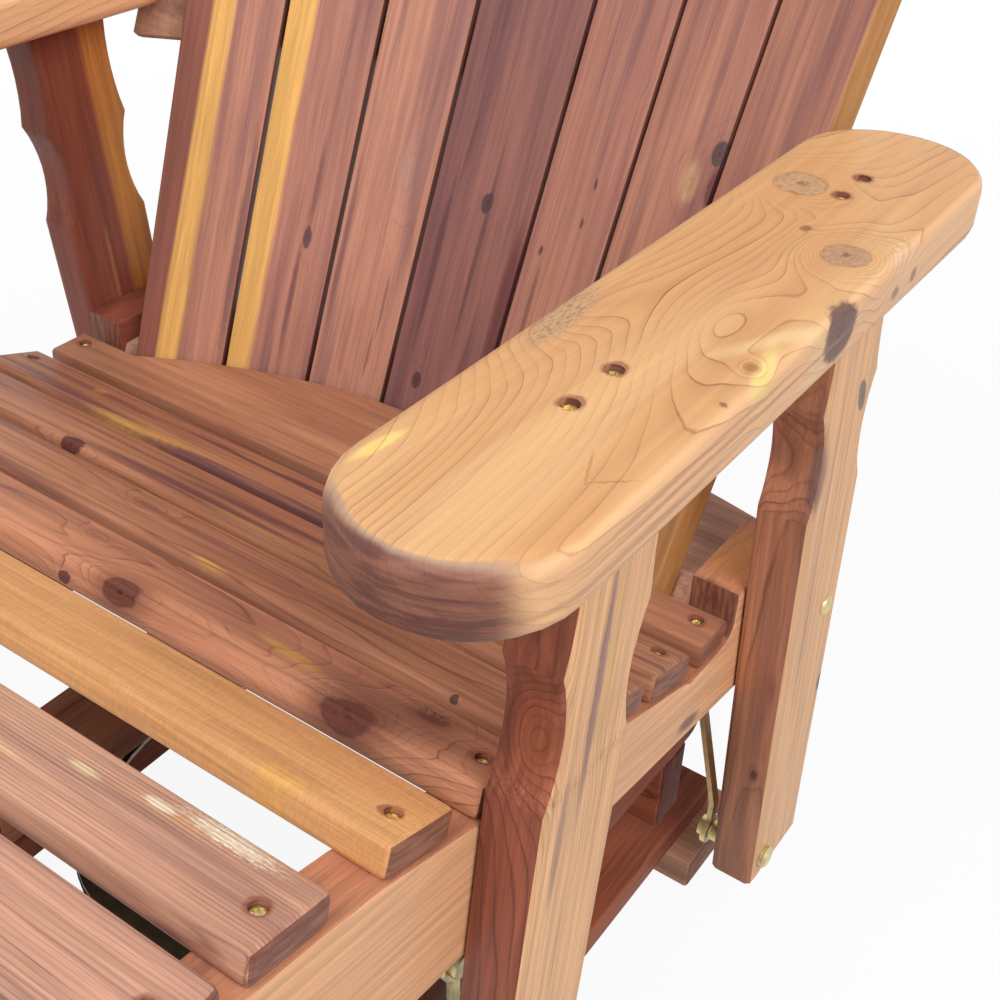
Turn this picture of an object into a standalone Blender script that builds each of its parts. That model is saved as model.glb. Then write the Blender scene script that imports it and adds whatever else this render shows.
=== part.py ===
"""Red cedar adirondack swivel glider, built board by board.

Metres, +Z up. The chair faces -Y, +X is on the right of somebody looking at its front.
The pieces are drawn about the swivel axis, and the floor is Z = 0.
"""
import math

import bmesh
import bpy
from mathutils import Matrix, Vector

# Lumber
LUMBER = 0.035
FIT = 0.0003
EASE = 0.003
SAME = 1e-6

# Armrests
ARM_TOP = 0.640
ARM_W = 0.105
ARM_INSET = 0.0029
ARM_FRONT = -0.270
ARM_BACK = 0.221
ARM_END_R = 0.051
ARM_EDGE_R = 0.008

# Screws sunk into the arm tops over each post, and into the slats over each rail
FRONT_SCREWS = (-0.027, 0.0065)
REAR_SCREWS = (-0.0145, 0.0136)
SLAT_SCREWS = (0.002, -0.003, -0.0033, -0.0017, 0.003, -0.002, 0.0074)
REAR_SLAT_SCREW = 0.0215
SCREW_HOLE_R = 0.0047
SCREW_HOLE_DEPTH = 0.004
SCREW_HOLE_SIDES = 12

# Arm posts: raked boards with scalloped edges
INNER_HALF = 0.300
POST_W = 0.078
POST_TOP_Y = 0.1236
POST_RAKE = math.radians(6.0)
POST_BOTTOM = 0.075
POST_EDGE_R = 0.005
SCALLOP_FOOT = 0.438
SCALLOP_MID = 0.518
SCALLOP_DEPTH = 0.009
SCALLOP_TOP_DEPTH = 0.005

# Seat
SLAT_T = 0.0195
SLAT_W = 0.050
SLAT_EDGE_R = 0.004
SLAT_END_IN = 0.0015
SLAT_PITCH = 0.0622
SEAT_SLOPE = math.radians(18.6)
SEAT_REF_Y = 0.0021
SEAT_REF_Z = 0.3721
SLOPED_SLATS = 5
FRONT_LEAD = 0.0105
KNEE_BACK_Y = -0.281
KNEE_BACK_Z = 0.464
KNEE_SLOPE = math.radians(11.0)
NOSE_BACK_Y = -0.3457
NOSE_BACK_Z = 0.4748
NOSE_SLOPE = math.radians(-4.0)
REAR_SLAT_TOP = 0.352
REAR_SLAT_FRONT = 0.0624
REAR_SLAT_END_W = 0.0345
REAR_SLAT_GAP = 0.006
REAR_SLAT_STEPS = 24

# Seat rails
RAIL_LOW_Y = 0.089
RAIL_LOW_Z = 0.282
RAIL_LOW_SLOPE = math.radians(8.2)
RAIL_NOSE = 0.010
TAIL_FRONT = 0.105
TAIL_TOP = 0.367
TAIL_BACK = 0.186
TAIL_FILLET = 0.012
APRON_H = 0.060

# Back: seven slats on one concave, reclined, fanned surface
RECLINE = math.radians(23.4)
BACK_REF_Y = 0.1766
BACK_REF_Z = 0.360
BACK_BEND_R = 0.4098
BACK_FAN_REACH = 3.571
BACK_EDGES = (0.0433, 0.1096, 0.1773, 0.2440)
BACK_GAP = 0.002
BACK_FOOT = 0.306
BACK_TOP = 1.030
BACK_ARCH_R = 0.3226
BACK_EDGE_R = 0.003
LOW_RAIL_Z = 0.314
TOP_RAIL_Z = 0.850
BACK_RAIL_D = 0.050
BACK_RAIL_STEPS = 16
BACK_CROWN_STEPS = 6

# Glide linkage
PIVOT_Y = 0.152
PIVOT_LOW_Z = 0.100
PIVOT_TOP_Z = 0.250
LINK_T = 0.004
LINK_EYE_R = 0.012
LINK_BAR_W = 0.008
LINK_BEND = 0.030
LINK_OUT = 0.008
LINK_IN = 0.004
BOLT_D = 0.008
BOLT_PLAY = 0.0004
HEAD_D = 0.018
HEAD_H = 0.005
COLLAR_D = 0.016
NUT_H = 0.0045

# Glide frame
SIDE_CLEAR = 0.003
SIDE_TOP = 0.268
SIDE_HALF_L = 0.170
SLEEPER_W = 0.066
SLEEPER_X = 0.169
SLEEPER_HALF_L = 0.172
CROSS_H = 0.0646
CROSS_Y = 0.1325

# Swivel ring
PLATE_T = 0.004
RING_R = 0.172
RING_HOLE_R = 0.150
RING_H = 0.009
RING_LIP = 0.004

# Base
BASE_T = 0.028
RUNNER_W = 0.105
RUNNER_X = 0.2015
RUNNER_HALF_L = 0.235
FOOT_W = 0.090
FOOT_Y = 0.210
FOOT_HALF_L = 0.275
PAD_H = 0.003
PAD_R = 0.022

# Heights and places that follow from the sizes above
ARM_UNDER = ARM_TOP - LUMBER
POST_X = INNER_HALF + LUMBER / 2
ARM_CENTRE_X = POST_X - ARM_INSET
RAIL_X = INNER_HALF - LUMBER / 2
FOOT_Z = PAD_H + FIT
RUNNER_Z = FOOT_Z + BASE_T + FIT
LOWER_PLATE_Z = RUNNER_Z + BASE_T + FIT
RING_Z = LOWER_PLATE_Z + PLATE_T + FIT
UPPER_PLATE_Z = RING_Z + RING_H + FIT
SLEEPER_Z = UPPER_PLATE_Z + PLATE_T + FIT
CROSS_Z = SLEEPER_Z + LUMBER + FIT
SIDE_Z = CROSS_Z + CROSS_H + FIT
SIDE_OUT = INNER_HALF - LUMBER - SIDE_CLEAR
SIDE_IN = SIDE_OUT - LUMBER
LINK_TOP_X = SIDE_OUT + LINK_IN + LINK_T / 2
LINK_LOW_X = INNER_HALF - LINK_OUT - LINK_T / 2
SLAT_HALF_L = INNER_HALF - SLAT_END_IN


def clear_scene():
    """Empty the file before building."""
    for item in list(bpy.data.objects):
        bpy.data.objects.remove(item, do_unlink=True)


def make_material(name, colour, metallic, roughness):
    """One plain finish for a kind of piece."""
    mat = bpy.data.materials.new(name)
    mat.use_nodes = True
    shader = mat.node_tree.nodes["Principled BSDF"]
    shader.inputs["Base Color"].default_value = (*colour, 1.0)
    shader.inputs["Metallic"].default_value = metallic
    shader.inputs["Roughness"].default_value = roughness
    return mat


def add_piece(name, bm, mat, place=(0.0, 0.0, 0.0), turn=None, parent=None):
    """Turn a finished mesh into one named piece."""
    bmesh.ops.recalc_face_normals(bm, faces=bm.faces)
    mesh = bpy.data.meshes.new(name)
    bm.to_mesh(mesh)
    bm.free()
    mesh.materials.append(mat)
    piece = bpy.data.objects.new(name, mesh)
    bpy.context.scene.collection.objects.link(piece)
    if turn is not None:
        piece.rotation_euler = turn.to_euler()
    hang(piece, place, parent)
    return piece


def hang(item, place, parent):
    """Put an item at a place in the object's frame, carried by its parent if it has one."""
    spot = Vector(place)
    above = parent
    while above is not None:
        spot -= above.location
        above = above.parent
    item.location = spot
    item.parent = parent


def add_axis(name, place, parent=None):
    """An empty on a joint axis that carries the pieces moving with it."""
    axis = bpy.data.objects.new(name, None)
    bpy.context.scene.collection.objects.link(axis)
    hang(axis, place, parent)
    return axis


def circle(radius, count, centre=(0.0, 0.0)):
    """Points of a circle."""
    steps = (2 * math.pi * i / count for i in range(count))
    return [(centre[0] + radius * math.cos(a), centre[1] + radius * math.sin(a)) for a in steps]


def arc(centre, radius, start, end, count):
    """Points of an arc, angles in degrees."""
    turns = (math.radians(start + (end - start) * i / count) for i in range(count + 1))
    return [(centre[0] + radius * math.cos(a), centre[1] + radius * math.sin(a)) for a in turns]


def rounded_box(half_x, half_y, radius, count):
    """Outline of a rectangle with rounded corners."""
    points = []
    for sx, sy, start in ((1, 1, 0), (-1, 1, 90), (-1, -1, 180), (1, -1, 270)):
        centre = (sx * (half_x - radius), sy * (half_y - radius))
        points += arc(centre, radius, start, start + 90, count)
    return points


def prism(outline, thickness, ease, segments, holes=()):
    """A board cut to an outline in XY, from z = 0 up to its thickness, with eased outer edges."""
    bm = bmesh.new()
    loops = []
    for points in (outline, *holes):
        verts = [bm.verts.new((x, y, 0.0)) for x, y in points]
        loops.append([bm.edges.new((verts[i - 1], verts[i])) for i in range(len(verts))])
    rim = loops[0]
    if holes:
        bmesh.ops.triangle_fill(bm, use_beauty=True, edges=[e for loop in loops for e in loop])
    else:
        bmesh.ops.contextual_create(bm, geom=rim)
    grown = bmesh.ops.extrude_face_region(bm, geom=list(bm.faces), use_keep_orig=True)["geom"]
    lifted = [v for v in grown if isinstance(v, bmesh.types.BMVert)]
    bmesh.ops.translate(bm, verts=lifted, vec=(0.0, 0.0, thickness))
    bmesh.ops.recalc_face_normals(bm, faces=bm.faces)
    if ease > 0.0:
        edges = [e for e in bm.edges if is_rim(e, outline)]
        bmesh.ops.bevel(
            bm, geom=edges, offset=ease, segments=segments, profile=0.5, affect="EDGES", material=-1
        )
    return bm


def is_rim(edge, outline):
    """Whether an edge runs along the outer outline of a board's face."""
    first, second = edge.verts
    if abs(first.co.z - second.co.z) > SAME or edge.calc_face_angle(0.0) < 0.5:
        return False
    return all(any(math.dist(v.co.xy, point) < SAME for point in outline) for v in edge.verts)


def board(size_x, size_y, size_z, ease, segments):
    """A straight board about its own centre with every edge eased."""
    bm = bmesh.new()
    bmesh.ops.create_cube(bm, size=1.0)
    bmesh.ops.scale(bm, vec=(size_x, size_y, size_z), verts=bm.verts)
    bmesh.ops.bevel(
        bm, geom=list(bm.edges), offset=ease, segments=segments, profile=0.5, affect="EDGES", material=-1
    )
    return bm


def sink_screw_holes(bm, places):
    """Sink a blind screw hole into a board's flat top at each place."""
    bm.normal_update()
    top = max(bm.faces, key=lambda face: face.normal.z * face.calc_area())
    height = top.verts[0].co.z
    rim = list(top.edges)
    bmesh.ops.delete(bm, geom=[top], context="FACES_ONLY")
    rings = []
    for spot in places:
        ring = [bm.verts.new((x, y, height)) for x, y in circle(SCREW_HOLE_R, SCREW_HOLE_SIDES, spot)]
        rings.append([bm.edges.new((ring[i - 1], ring[i])) for i in range(len(ring))])
    bmesh.ops.triangle_fill(bm, use_beauty=True, edges=rim + [e for ring in rings for e in ring])
    for ring in rings:
        grown = bmesh.ops.extrude_edge_only(bm, edges=ring)["geom"]
        sunk = [v for v in grown if isinstance(v, bmesh.types.BMVert)]
        bmesh.ops.translate(bm, verts=sunk, vec=(0.0, 0.0, -SCREW_HOLE_DEPTH))
        floor = [e for v in sunk for e in v.link_edges if e.other_vert(v) in sunk]
        bmesh.ops.contextual_create(bm, geom=list(dict.fromkeys(floor)))
    bmesh.ops.recalc_face_normals(bm, faces=bm.faces)
    return bm


def stand_up(bm):
    """Stand a prism drawn as (y, z) on edge, its thickness centred along X."""
    tops = [v.co.z for v in bm.verts]
    bmesh.ops.translate(bm, verts=bm.verts, vec=(0.0, 0.0, -(min(tops) + max(tops)) / 2))
    upright = Matrix(((0, 0, 1, 0), (1, 0, 0, 0), (0, 1, 0, 0), (0, 0, 0, 1)))
    bmesh.ops.transform(bm, matrix=upright, verts=bm.verts)
    return bm


def post_half_width(z):
    """Half the width of an arm post at a height, cut back by its two scallops."""
    depth = 0.0
    if SCALLOP_FOOT < z < SCALLOP_MID:
        depth = SCALLOP_DEPTH * scoop((z - SCALLOP_FOOT) / (SCALLOP_MID - SCALLOP_FOOT))
    elif SCALLOP_MID <= z < ARM_UNDER:
        depth = SCALLOP_TOP_DEPTH * scoop((z - SCALLOP_MID) / (ARM_UNDER - SCALLOP_MID))
    return POST_W / 2 - depth


def scoop(t):
    """Depth of a scallop along its length, as a share of its greatest depth."""
    return math.sin(math.pi * t) ** 0.8


def post_centre(z):
    """Distance of a raked post's centre line from the swivel axis at a height."""
    return POST_TOP_Y + (ARM_UNDER - FIT - z) * math.tan(POST_RAKE)


def post_outline(facing):
    """Side outline of an arm post; facing is -1 at the front and +1 at the rear."""
    top = ARM_UNDER - FIT
    low = [SCALLOP_FOOT + (SCALLOP_MID - SCALLOP_FOOT) * i / 9 for i in range(10)]
    high = [SCALLOP_MID + (top - SCALLOP_MID) * i / 7 for i in range(1, 8)]
    heights = [POST_BOTTOM] + low + high
    spread = 1.0 / math.cos(POST_RAKE)
    inner = [(facing * (post_centre(z) - post_half_width(z) * spread), z) for z in heights]
    outer = [(facing * (post_centre(z) + post_half_width(z) * spread), z) for z in heights]
    return inner + outer[::-1]


def slope_step(distance):
    """Offset along the sloped part of the seat, measured forwards and up."""
    return -distance * math.cos(SEAT_SLOPE), distance * math.sin(SEAT_SLOPE)


def seat_slat_places():
    """Front upper corner and slope of every straight seat slat, front one first."""
    places = []
    for y, z, slope in (
        (NOSE_BACK_Y, NOSE_BACK_Z, NOSE_SLOPE),
        (KNEE_BACK_Y, KNEE_BACK_Z, KNEE_SLOPE),
    ):
        places.append((y - SLAT_W * math.cos(slope), z + SLAT_W * math.sin(slope), slope))
    lead = FRONT_LEAD
    for i in range(SLOPED_SLATS - 1, -1, -1):
        dy, dz = slope_step(SLAT_PITCH * i + lead)
        places.append((SEAT_REF_Y + dy, SEAT_REF_Z + dz, SEAT_SLOPE))
        lead = 0.0
    return places


def slat_point(place, along, below):
    """A point of a seat slat, along its width from the front and below its top face."""
    y, z, slope = place
    return (
        y + along * math.cos(slope) - below * math.sin(slope),
        z - along * math.sin(slope) - below * math.cos(slope),
    )


def rail_bottom(y):
    """Height of the lower edge of a seat rail, which falls gently towards the rear."""
    return RAIL_LOW_Z - (y - RAIL_LOW_Y) * math.tan(RAIL_LOW_SLOPE)


def rail_outline():
    """Side outline of a contoured seat rail with its raised tail."""
    under = SLAT_T + FIT
    top = []
    for place in seat_slat_places():
        top.append(slat_point(place, 0.0, under))
        top.append(slat_point(place, SLAT_W, under))
    seat = REAR_SLAT_TOP - under
    top.append((REAR_SLAT_FRONT - SLAT_PITCH + SLAT_W, seat))
    fillet = arc((TAIL_FRONT - TAIL_FILLET, seat + TAIL_FILLET), TAIL_FILLET, -90, 0, 4)
    crown = [(TAIL_FRONT, TAIL_TOP), (TAIL_BACK, TAIL_TOP)]
    heel = rail_bottom(TAIL_BACK)
    heel_r = (TAIL_TOP - heel) / 3
    tail = arc((TAIL_BACK - heel_r, heel + heel_r), heel_r, 0, -90, 4)
    tip = (top[0][0] - RAIL_NOSE, top[0][1])
    depth = tip[1] - rail_bottom(tip[0])
    nose = []
    for i in range(9):
        turn = math.pi / 2 * i / 8
        y = tip[0] + depth * (1.0 - math.sin(turn))
        nose.append((y, tip[1] - (tip[1] - rail_bottom(y)) * math.cos(turn)))
    return top + fillet + crown + tail + nose


def fan(z):
    """How much wider the fan of the back is at a height than at its reference height."""
    return 1.0 + (z - BACK_REF_Z) / BACK_FAN_REACH


def back_front_y(x, z):
    """Where the front of the back lies, across and up: a leaning cone whose rulings are the slat edges."""
    bend = x * x / (2 * BACK_BEND_R) / fan(z)
    return BACK_REF_Y + (z - BACK_REF_Z) * math.tan(RECLINE) - bend


def back_bounds():
    """Lines between the back slats at the reference height, from left to right."""
    return [-x for x in reversed(BACK_EDGES)] + list(BACK_EDGES)


def back_plane(left, right):
    """Turn and origin of the flat face through two neighbouring lines of the back."""
    y_left = back_front_y(left, BACK_REF_Z)
    y_right = back_front_y(right, BACK_REF_Z)
    origin = Vector(((left + right) / 2, (y_left + y_right) / 2, BACK_REF_Z))
    apex = Vector((0.0, BACK_REF_Y - math.tan(RECLINE) * BACK_FAN_REACH, BACK_REF_Z - BACK_FAN_REACH))
    up = (origin - apex).normalized()
    out = Vector((right - left, y_right - y_left, 0.0)).cross(up).normalized()
    across = up.cross(out)
    return Matrix((across, up, out)).transposed(), origin


def back_slat(left, right):
    """Outline of one back slat in its own face, with that face's turn and origin."""
    turn, origin = back_plane(left, right)
    across, up, out = turn.transposed()
    first = left + BACK_GAP / 2
    last = right - BACK_GAP / 2
    ends = [(first * fan(BACK_FOOT), BACK_FOOT), (last * fan(BACK_FOOT), BACK_FOOT)]
    for i in range(BACK_CROWN_STEPS + 1):
        x = last + (first - last) * i / BACK_CROWN_STEPS
        z = BACK_TOP - (x * fan(BACK_TOP)) ** 2 / (2 * BACK_ARCH_R)
        ends.append((x * fan(z), z))
    outline = []
    for x, z in ends:
        dx = x - origin.x
        dz = z - origin.z
        offset = Vector((dx, -(out.x * dx + out.z * dz) / out.y, dz))
        outline.append((offset.dot(across), offset.dot(up)))
    return outline, turn, origin


def back_face(x, z, share):
    """Where the rear face of a back slat lies along Y, and how fast it leans back with height."""
    bounds = back_bounds()
    index = 0
    while index < len(bounds) - 2 and share > bounds[index + 1]:
        index += 1
    turn, origin = back_plane(bounds[index], bounds[index + 1])
    out = turn.transposed()[2]
    front = origin.y - (out.x * (x - origin.x) + out.z * (z - origin.z)) / out.y
    return front + SLAT_T / abs(out.y), -out.z / out.y


def rail_front(base_z, half_x, shoulder_x):
    """Front edge of a back rail: a flat behind every slat, then straight on past the shoulder."""
    bounds = back_bounds()
    shares = []
    for left, right in zip(bounds, bounds[1:]):
        shares += [left + BACK_GAP / 2, right - BACK_GAP / 2]
    widen = fan(base_z)
    for x in (shoulder_x, half_x):
        if x > shares[-1] * widen + LUMBER / 8:
            shares = [-x / widen] + shares + [x / widen]
    line = []
    for share in shares:
        x = share * widen
        reach = math.copysign(min(abs(x), shoulder_x), x)
        line.append((x, back_face(reach, base_z, share)[0] + FIT))
    return line


def curved_rail(base_z, half_x, shoulder_x, depth_mid, depth_end):
    """A back rail, flat above and below, its edges bevelled to the recline of the back."""
    front = rail_front(base_z, half_x, shoulder_x)
    end_y = front[0][1]
    mid_y = max(y for _, y in front) + depth_mid
    rear = []
    for i in range(BACK_RAIL_STEPS + 1):
        share = 1.0 - 2.0 * i / BACK_RAIL_STEPS
        rear.append((half_x * share, mid_y + (end_y + depth_end - mid_y) * share * share))
    bm = prism(front + rear, LUMBER, EASE, 1)
    for vert in bm.verts:
        slope = back_face(vert.co.x, base_z, vert.co.x / fan(base_z))[1]
        vert.co.y += vert.co.z * slope
    return bm


def rear_slat():
    """The last seat slat: straight in front, its rear edge curved and bevelled to follow the back."""
    back = REAR_SLAT_FRONT + REAR_SLAT_END_W
    bulge = back_front_y(0.0, REAR_SLAT_TOP) - REAR_SLAT_GAP - back
    flat = math.sqrt(bulge * fan(REAR_SLAT_TOP) * 2 * BACK_BEND_R)
    points = [(-SLAT_HALF_L, REAR_SLAT_FRONT), (SLAT_HALF_L, REAR_SLAT_FRONT), (SLAT_HALF_L, back)]
    for i in range(REAR_SLAT_STEPS + 1):
        x = flat * (1.0 - 2.0 * i / REAR_SLAT_STEPS)
        points.append((x, back_front_y(x, REAR_SLAT_TOP) - REAR_SLAT_GAP))
    points.append((-SLAT_HALF_L, back))
    bm = prism(points, SLAT_T, SLAT_EDGE_R, 2)
    for vert in bm.verts:
        share = min(1.0, (vert.co.y - REAR_SLAT_FRONT) / REAR_SLAT_END_W)
        vert.co.y -= (SLAT_T - vert.co.z) * math.tan(RECLINE) * share
    return bm


def turned(profile, count):
    """A round piece from (radius, height) steps about Z."""
    bm = bmesh.new()
    rings = []
    for radius, height in profile:
        ring = [bm.verts.new((x, y, height)) for x, y in circle(radius, count)]
        rings.append(ring)
    for low, high in zip(rings, rings[1:]):
        for i in range(count):
            bm.faces.new((low[i - 1], low[i], high[i], high[i - 1]))
    bm.faces.new(list(reversed(rings[0])))
    bm.faces.new(rings[-1])
    return bm


def pivot_bolt(grip, collar, play):
    """A stepped pivot bolt along +Z: head, shank in the wood, collar, shank in the link, nut."""
    head = HEAD_D / 2
    shank = BOLT_D / 2
    ring = COLLAR_D / 2
    inside = grip + FIT
    link = inside + collar
    nut = link + LINK_T + 2 * play
    profile = [
        (head * 0.8, -HEAD_H),
        (head, -HEAD_H * 0.6),
        (head, 0.0),
        (shank, 0.0),
        (shank, inside),
        (ring, inside),
        (ring, link),
        (shank, link),
        (shank, nut),
        (ring, nut),
        (ring, nut + NUT_H),
    ]
    return turned(profile, 16)


def ring_plate(height):
    """A flat ring about the swivel axis."""
    return prism(circle(RING_R, 48), height, 0.0, 1, [circle(RING_HOLE_R, 48)])


def build_base(wood, steel, rubber, axis):
    """The part that stands on the floor."""
    for end, sy in (("front", -1), ("rear", 1)):
        bm = board(2 * FOOT_HALF_L, FOOT_W, BASE_T, EASE, 2)
        add_piece("base_foot_board_" + end, bm, wood, (0.0, sy * FOOT_Y, FOOT_Z + BASE_T / 2), parent=axis)
        for side, sx in (("left", -1), ("right", 1)):
            bm = turned([(PAD_R * 0.92, 0.0), (PAD_R, PAD_H * 0.5), (PAD_R, PAD_H)], 20)
            place = (sx * (FOOT_HALF_L - FOOT_W / 2), sy * FOOT_Y, 0.0)
            add_piece("floor_pad_" + end + "_" + side, bm, rubber, place, parent=axis)
    for side, sx in (("left", -1), ("right", 1)):
        bm = board(RUNNER_W, 2 * RUNNER_HALF_L, BASE_T, EASE, 2)
        add_piece("base_runner_" + side, bm, wood, (sx * RUNNER_X, 0.0, RUNNER_Z + BASE_T / 2), parent=axis)
    add_piece("swivel_lower_plate", ring_plate(PLATE_T), steel, (0.0, 0.0, LOWER_PLATE_Z), parent=axis)
    bm = prism(circle(RING_R - RING_LIP, 48), RING_H, 0.0, 1, [circle(RING_HOLE_R + RING_LIP, 48)])
    add_piece("swivel_bearing_ring", bm, steel, (0.0, 0.0, RING_Z), parent=axis)


def build_frame(wood, steel, axis):
    """The frame that turns on the swivel and carries the links."""
    add_piece("swivel_upper_plate", ring_plate(PLATE_T), steel, (0.0, 0.0, UPPER_PLATE_Z), parent=axis)
    for end, sy in (("front", -1), ("rear", 1)):
        bm = board(2 * SIDE_OUT, LUMBER, CROSS_H, EASE, 2)
        place = (0.0, sy * CROSS_Y, CROSS_Z + CROSS_H / 2)
        add_piece("glide_cross_board_" + end, bm, wood, place, parent=axis)
    height = SIDE_TOP - SIDE_Z
    outline = rounded_box(SIDE_HALF_L, height / 2, LUMBER / 2, 4)
    outline = [(y, z + SIDE_Z + height / 2) for y, z in outline]
    holes = [circle(BOLT_D / 2 + BOLT_PLAY, 16, (sy * PIVOT_Y, PIVOT_TOP_Z)) for sy in (-1, 1)]
    for side, sx in (("left", -1), ("right", 1)):
        bm = board(SLEEPER_W, 2 * SLEEPER_HALF_L, LUMBER, EASE, 2)
        place = (sx * SLEEPER_X, 0.0, SLEEPER_Z + LUMBER / 2)
        add_piece("glide_sleeper_" + side, bm, wood, place, parent=axis)
        bm = stand_up(prism(outline, LUMBER, EASE, 2, holes))
        add_piece("glide_side_board_" + side, bm, wood, (sx * (SIDE_OUT - LUMBER / 2), 0.0, 0.0), parent=axis)
        for end, sy in (("front", -1), ("rear", 1)):
            bm = pivot_bolt(LUMBER + FIT, LINK_IN - 3 * FIT, FIT)
            turn = Matrix.Rotation(sx * math.pi / 2, 3, "Y")
            place = (sx * (SIDE_IN - FIT), sy * PIVOT_Y, PIVOT_TOP_Z)
            add_piece("upper_pivot_bolt_" + end + "_" + side, bm, steel, place, turn, axis)


def hanger(length, offset):
    """A slim steel strap with an eye at each end, joggled sideways between its two bends."""
    bar = LINK_BAR_W / 2
    lean = math.degrees(math.asin(bar / LINK_EYE_R))
    outline = arc((0.0, 0.0), LINK_EYE_R, lean - 90, 270 - lean, 12)
    outline += arc((0.0, -length), LINK_EYE_R, 90 + lean, 450 - lean, 12)
    holes = [circle(BOLT_D / 2 + BOLT_PLAY, 16, (0.0, z)) for z in (0.0, -length)]
    bm = stand_up(prism(outline, LINK_T, 0.0, 1, holes))
    for z in (-LINK_BEND, LINK_BEND - length):
        geom = list(bm.verts) + list(bm.edges) + list(bm.faces)
        bmesh.ops.bisect_plane(bm, geom=geom, plane_co=(0.0, 0.0, z), plane_no=(0.0, 0.0, 1.0))
    for vert in bm.verts:
        share = (-vert.co.z - LINK_BEND) / (length - 2 * LINK_BEND)
        vert.co.x += offset * min(1.0, max(0.0, share))
    return bm


def build_links(steel, axis):
    """Four steel hangers, each drawn about its own upper pivot."""
    for side, sx in (("left", -1), ("right", 1)):
        for end, sy in (("front", -1), ("rear", 1)):
            bm = hanger(PIVOT_TOP_Z - PIVOT_LOW_Z, sx * (LINK_LOW_X - LINK_TOP_X))
            place = (sx * LINK_TOP_X, sy * PIVOT_Y, PIVOT_TOP_Z)
            add_piece("glide_link_" + end + "_" + side, bm, steel, place, parent=axis)


def build_posts(wood, steel, axis):
    """Arm posts and the pivot bolts in their lower ends."""
    for side, sx in (("left", -1), ("right", 1)):
        for end, sy in (("front", -1), ("rear", 1)):
            hole = circle(BOLT_D / 2 + BOLT_PLAY, 16, (sy * PIVOT_Y, PIVOT_LOW_Z))
            bm = stand_up(prism(post_outline(sy), LUMBER, POST_EDGE_R, 2, [hole]))
            add_piece("arm_post_" + end + "_" + side, bm, wood, (sx * (POST_X + FIT), 0.0, 0.0), parent=axis)
            bm = pivot_bolt(LUMBER + FIT, LINK_OUT - 2 * FIT, FIT)
            turn = Matrix.Rotation(-sx * math.pi / 2, 3, "Y")
            place = (sx * (POST_X + LUMBER / 2 + 2 * FIT), sy * PIVOT_Y, PIVOT_LOW_Z)
            add_piece("lower_pivot_bolt_" + end + "_" + side, bm, steel, place, turn, axis)


def build_arms(wood, axis):
    """Two flat armrests with big rounded ends."""
    half_l = (ARM_BACK - ARM_FRONT) / 2
    outline = rounded_box(ARM_W / 2, half_l, ARM_END_R, 8)
    for side, sx in (("left", -1), ("right", 1)):
        middle = (ARM_FRONT + ARM_BACK) / 2
        screws = [-POST_TOP_Y + off for off in FRONT_SCREWS] + [POST_TOP_Y + off for off in REAR_SCREWS]
        bm = prism(outline, LUMBER, ARM_EDGE_R, 3)
        sink_screw_holes(bm, [(0.0, y - middle) for y in screws])
        place = (sx * ARM_CENTRE_X, middle, ARM_UNDER)
        add_piece("armrest_" + side, bm, wood, place, parent=axis)


def build_seat(wood, axis):
    """Contoured rails, straight slats, the curved rear slat and the front apron."""
    outline = rail_outline()
    for side, sx in (("left", -1), ("right", 1)):
        bm = stand_up(prism(outline, LUMBER, EASE, 2))
        add_piece("seat_rail_" + side, bm, wood, (sx * RAIL_X, 0.0, 0.0), parent=axis)
    places = seat_slat_places()
    for i, (y, z, slope) in enumerate(places):
        bm = board(2 * SLAT_HALF_L, SLAT_W, SLAT_T, SLAT_EDGE_R, 2)
        sink_screw_holes(bm, [(sx * RAIL_X, SLAT_SCREWS[i]) for sx in (-1, 1)])
        centre = slat_point((y, z, slope), SLAT_W / 2, SLAT_T / 2)
        turn = Matrix.Rotation(-slope, 3, "X")
        add_piece("seat_slat_" + str(i + 1), bm, wood, (0.0, *centre), turn, axis)
    bm = sink_screw_holes(rear_slat(), [(sx * RAIL_X, REAR_SLAT_FRONT + REAR_SLAT_SCREW) for sx in (-1, 1)])
    add_piece("seat_slat_rear", bm, wood, (0.0, 0.0, REAR_SLAT_TOP - SLAT_T), parent=axis)
    middle, under = slat_point(places[0], SLAT_W / 2, SLAT_T)
    top = under - LUMBER / 2 * abs(math.tan(NOSE_SLOPE)) - FIT / math.cos(NOSE_SLOPE)
    bm = board(2 * (INNER_HALF - LUMBER - FIT), LUMBER, APRON_H, EASE, 2)
    place = (0.0, middle, top - APRON_H / 2)
    add_piece("seat_front_apron", bm, wood, place, parent=axis)


def build_back(wood, axis):
    """Seven fanned slats and the three rails behind them."""
    bounds = back_bounds()
    for i, (left, right) in enumerate(zip(bounds, bounds[1:])):
        outline, turn, origin = back_slat(left, right)
        bm = prism(outline, SLAT_T, BACK_EDGE_R, 2)
        bmesh.ops.translate(bm, verts=bm.verts, vec=(0.0, 0.0, -SLAT_T))
        add_piece("back_slat_" + str(i + 1), bm, wood, origin, turn, axis)
    low_half = INNER_HALF - LUMBER - FIT
    arm_half = INNER_HALF + LUMBER / 4
    top_half = BACK_EDGES[-1] * fan(TOP_RAIL_Z)
    arm_z = ARM_UNDER - FIT - LUMBER
    bm = curved_rail(LOW_RAIL_Z, low_half, low_half, BACK_RAIL_D, BACK_RAIL_D * 2)
    add_piece("back_rail_lower", bm, wood, (0.0, 0.0, LOW_RAIL_Z), parent=axis)
    bm = curved_rail(arm_z, arm_half, INNER_HALF, BACK_RAIL_D, BACK_RAIL_D * 0.8)
    add_piece("back_rail_arm_level", bm, wood, (0.0, 0.0, arm_z), parent=axis)
    bm = curved_rail(TOP_RAIL_Z, top_half, top_half, BACK_RAIL_D, BACK_RAIL_D)
    add_piece("back_rail_upper", bm, wood, (0.0, 0.0, TOP_RAIL_Z), parent=axis)


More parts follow.
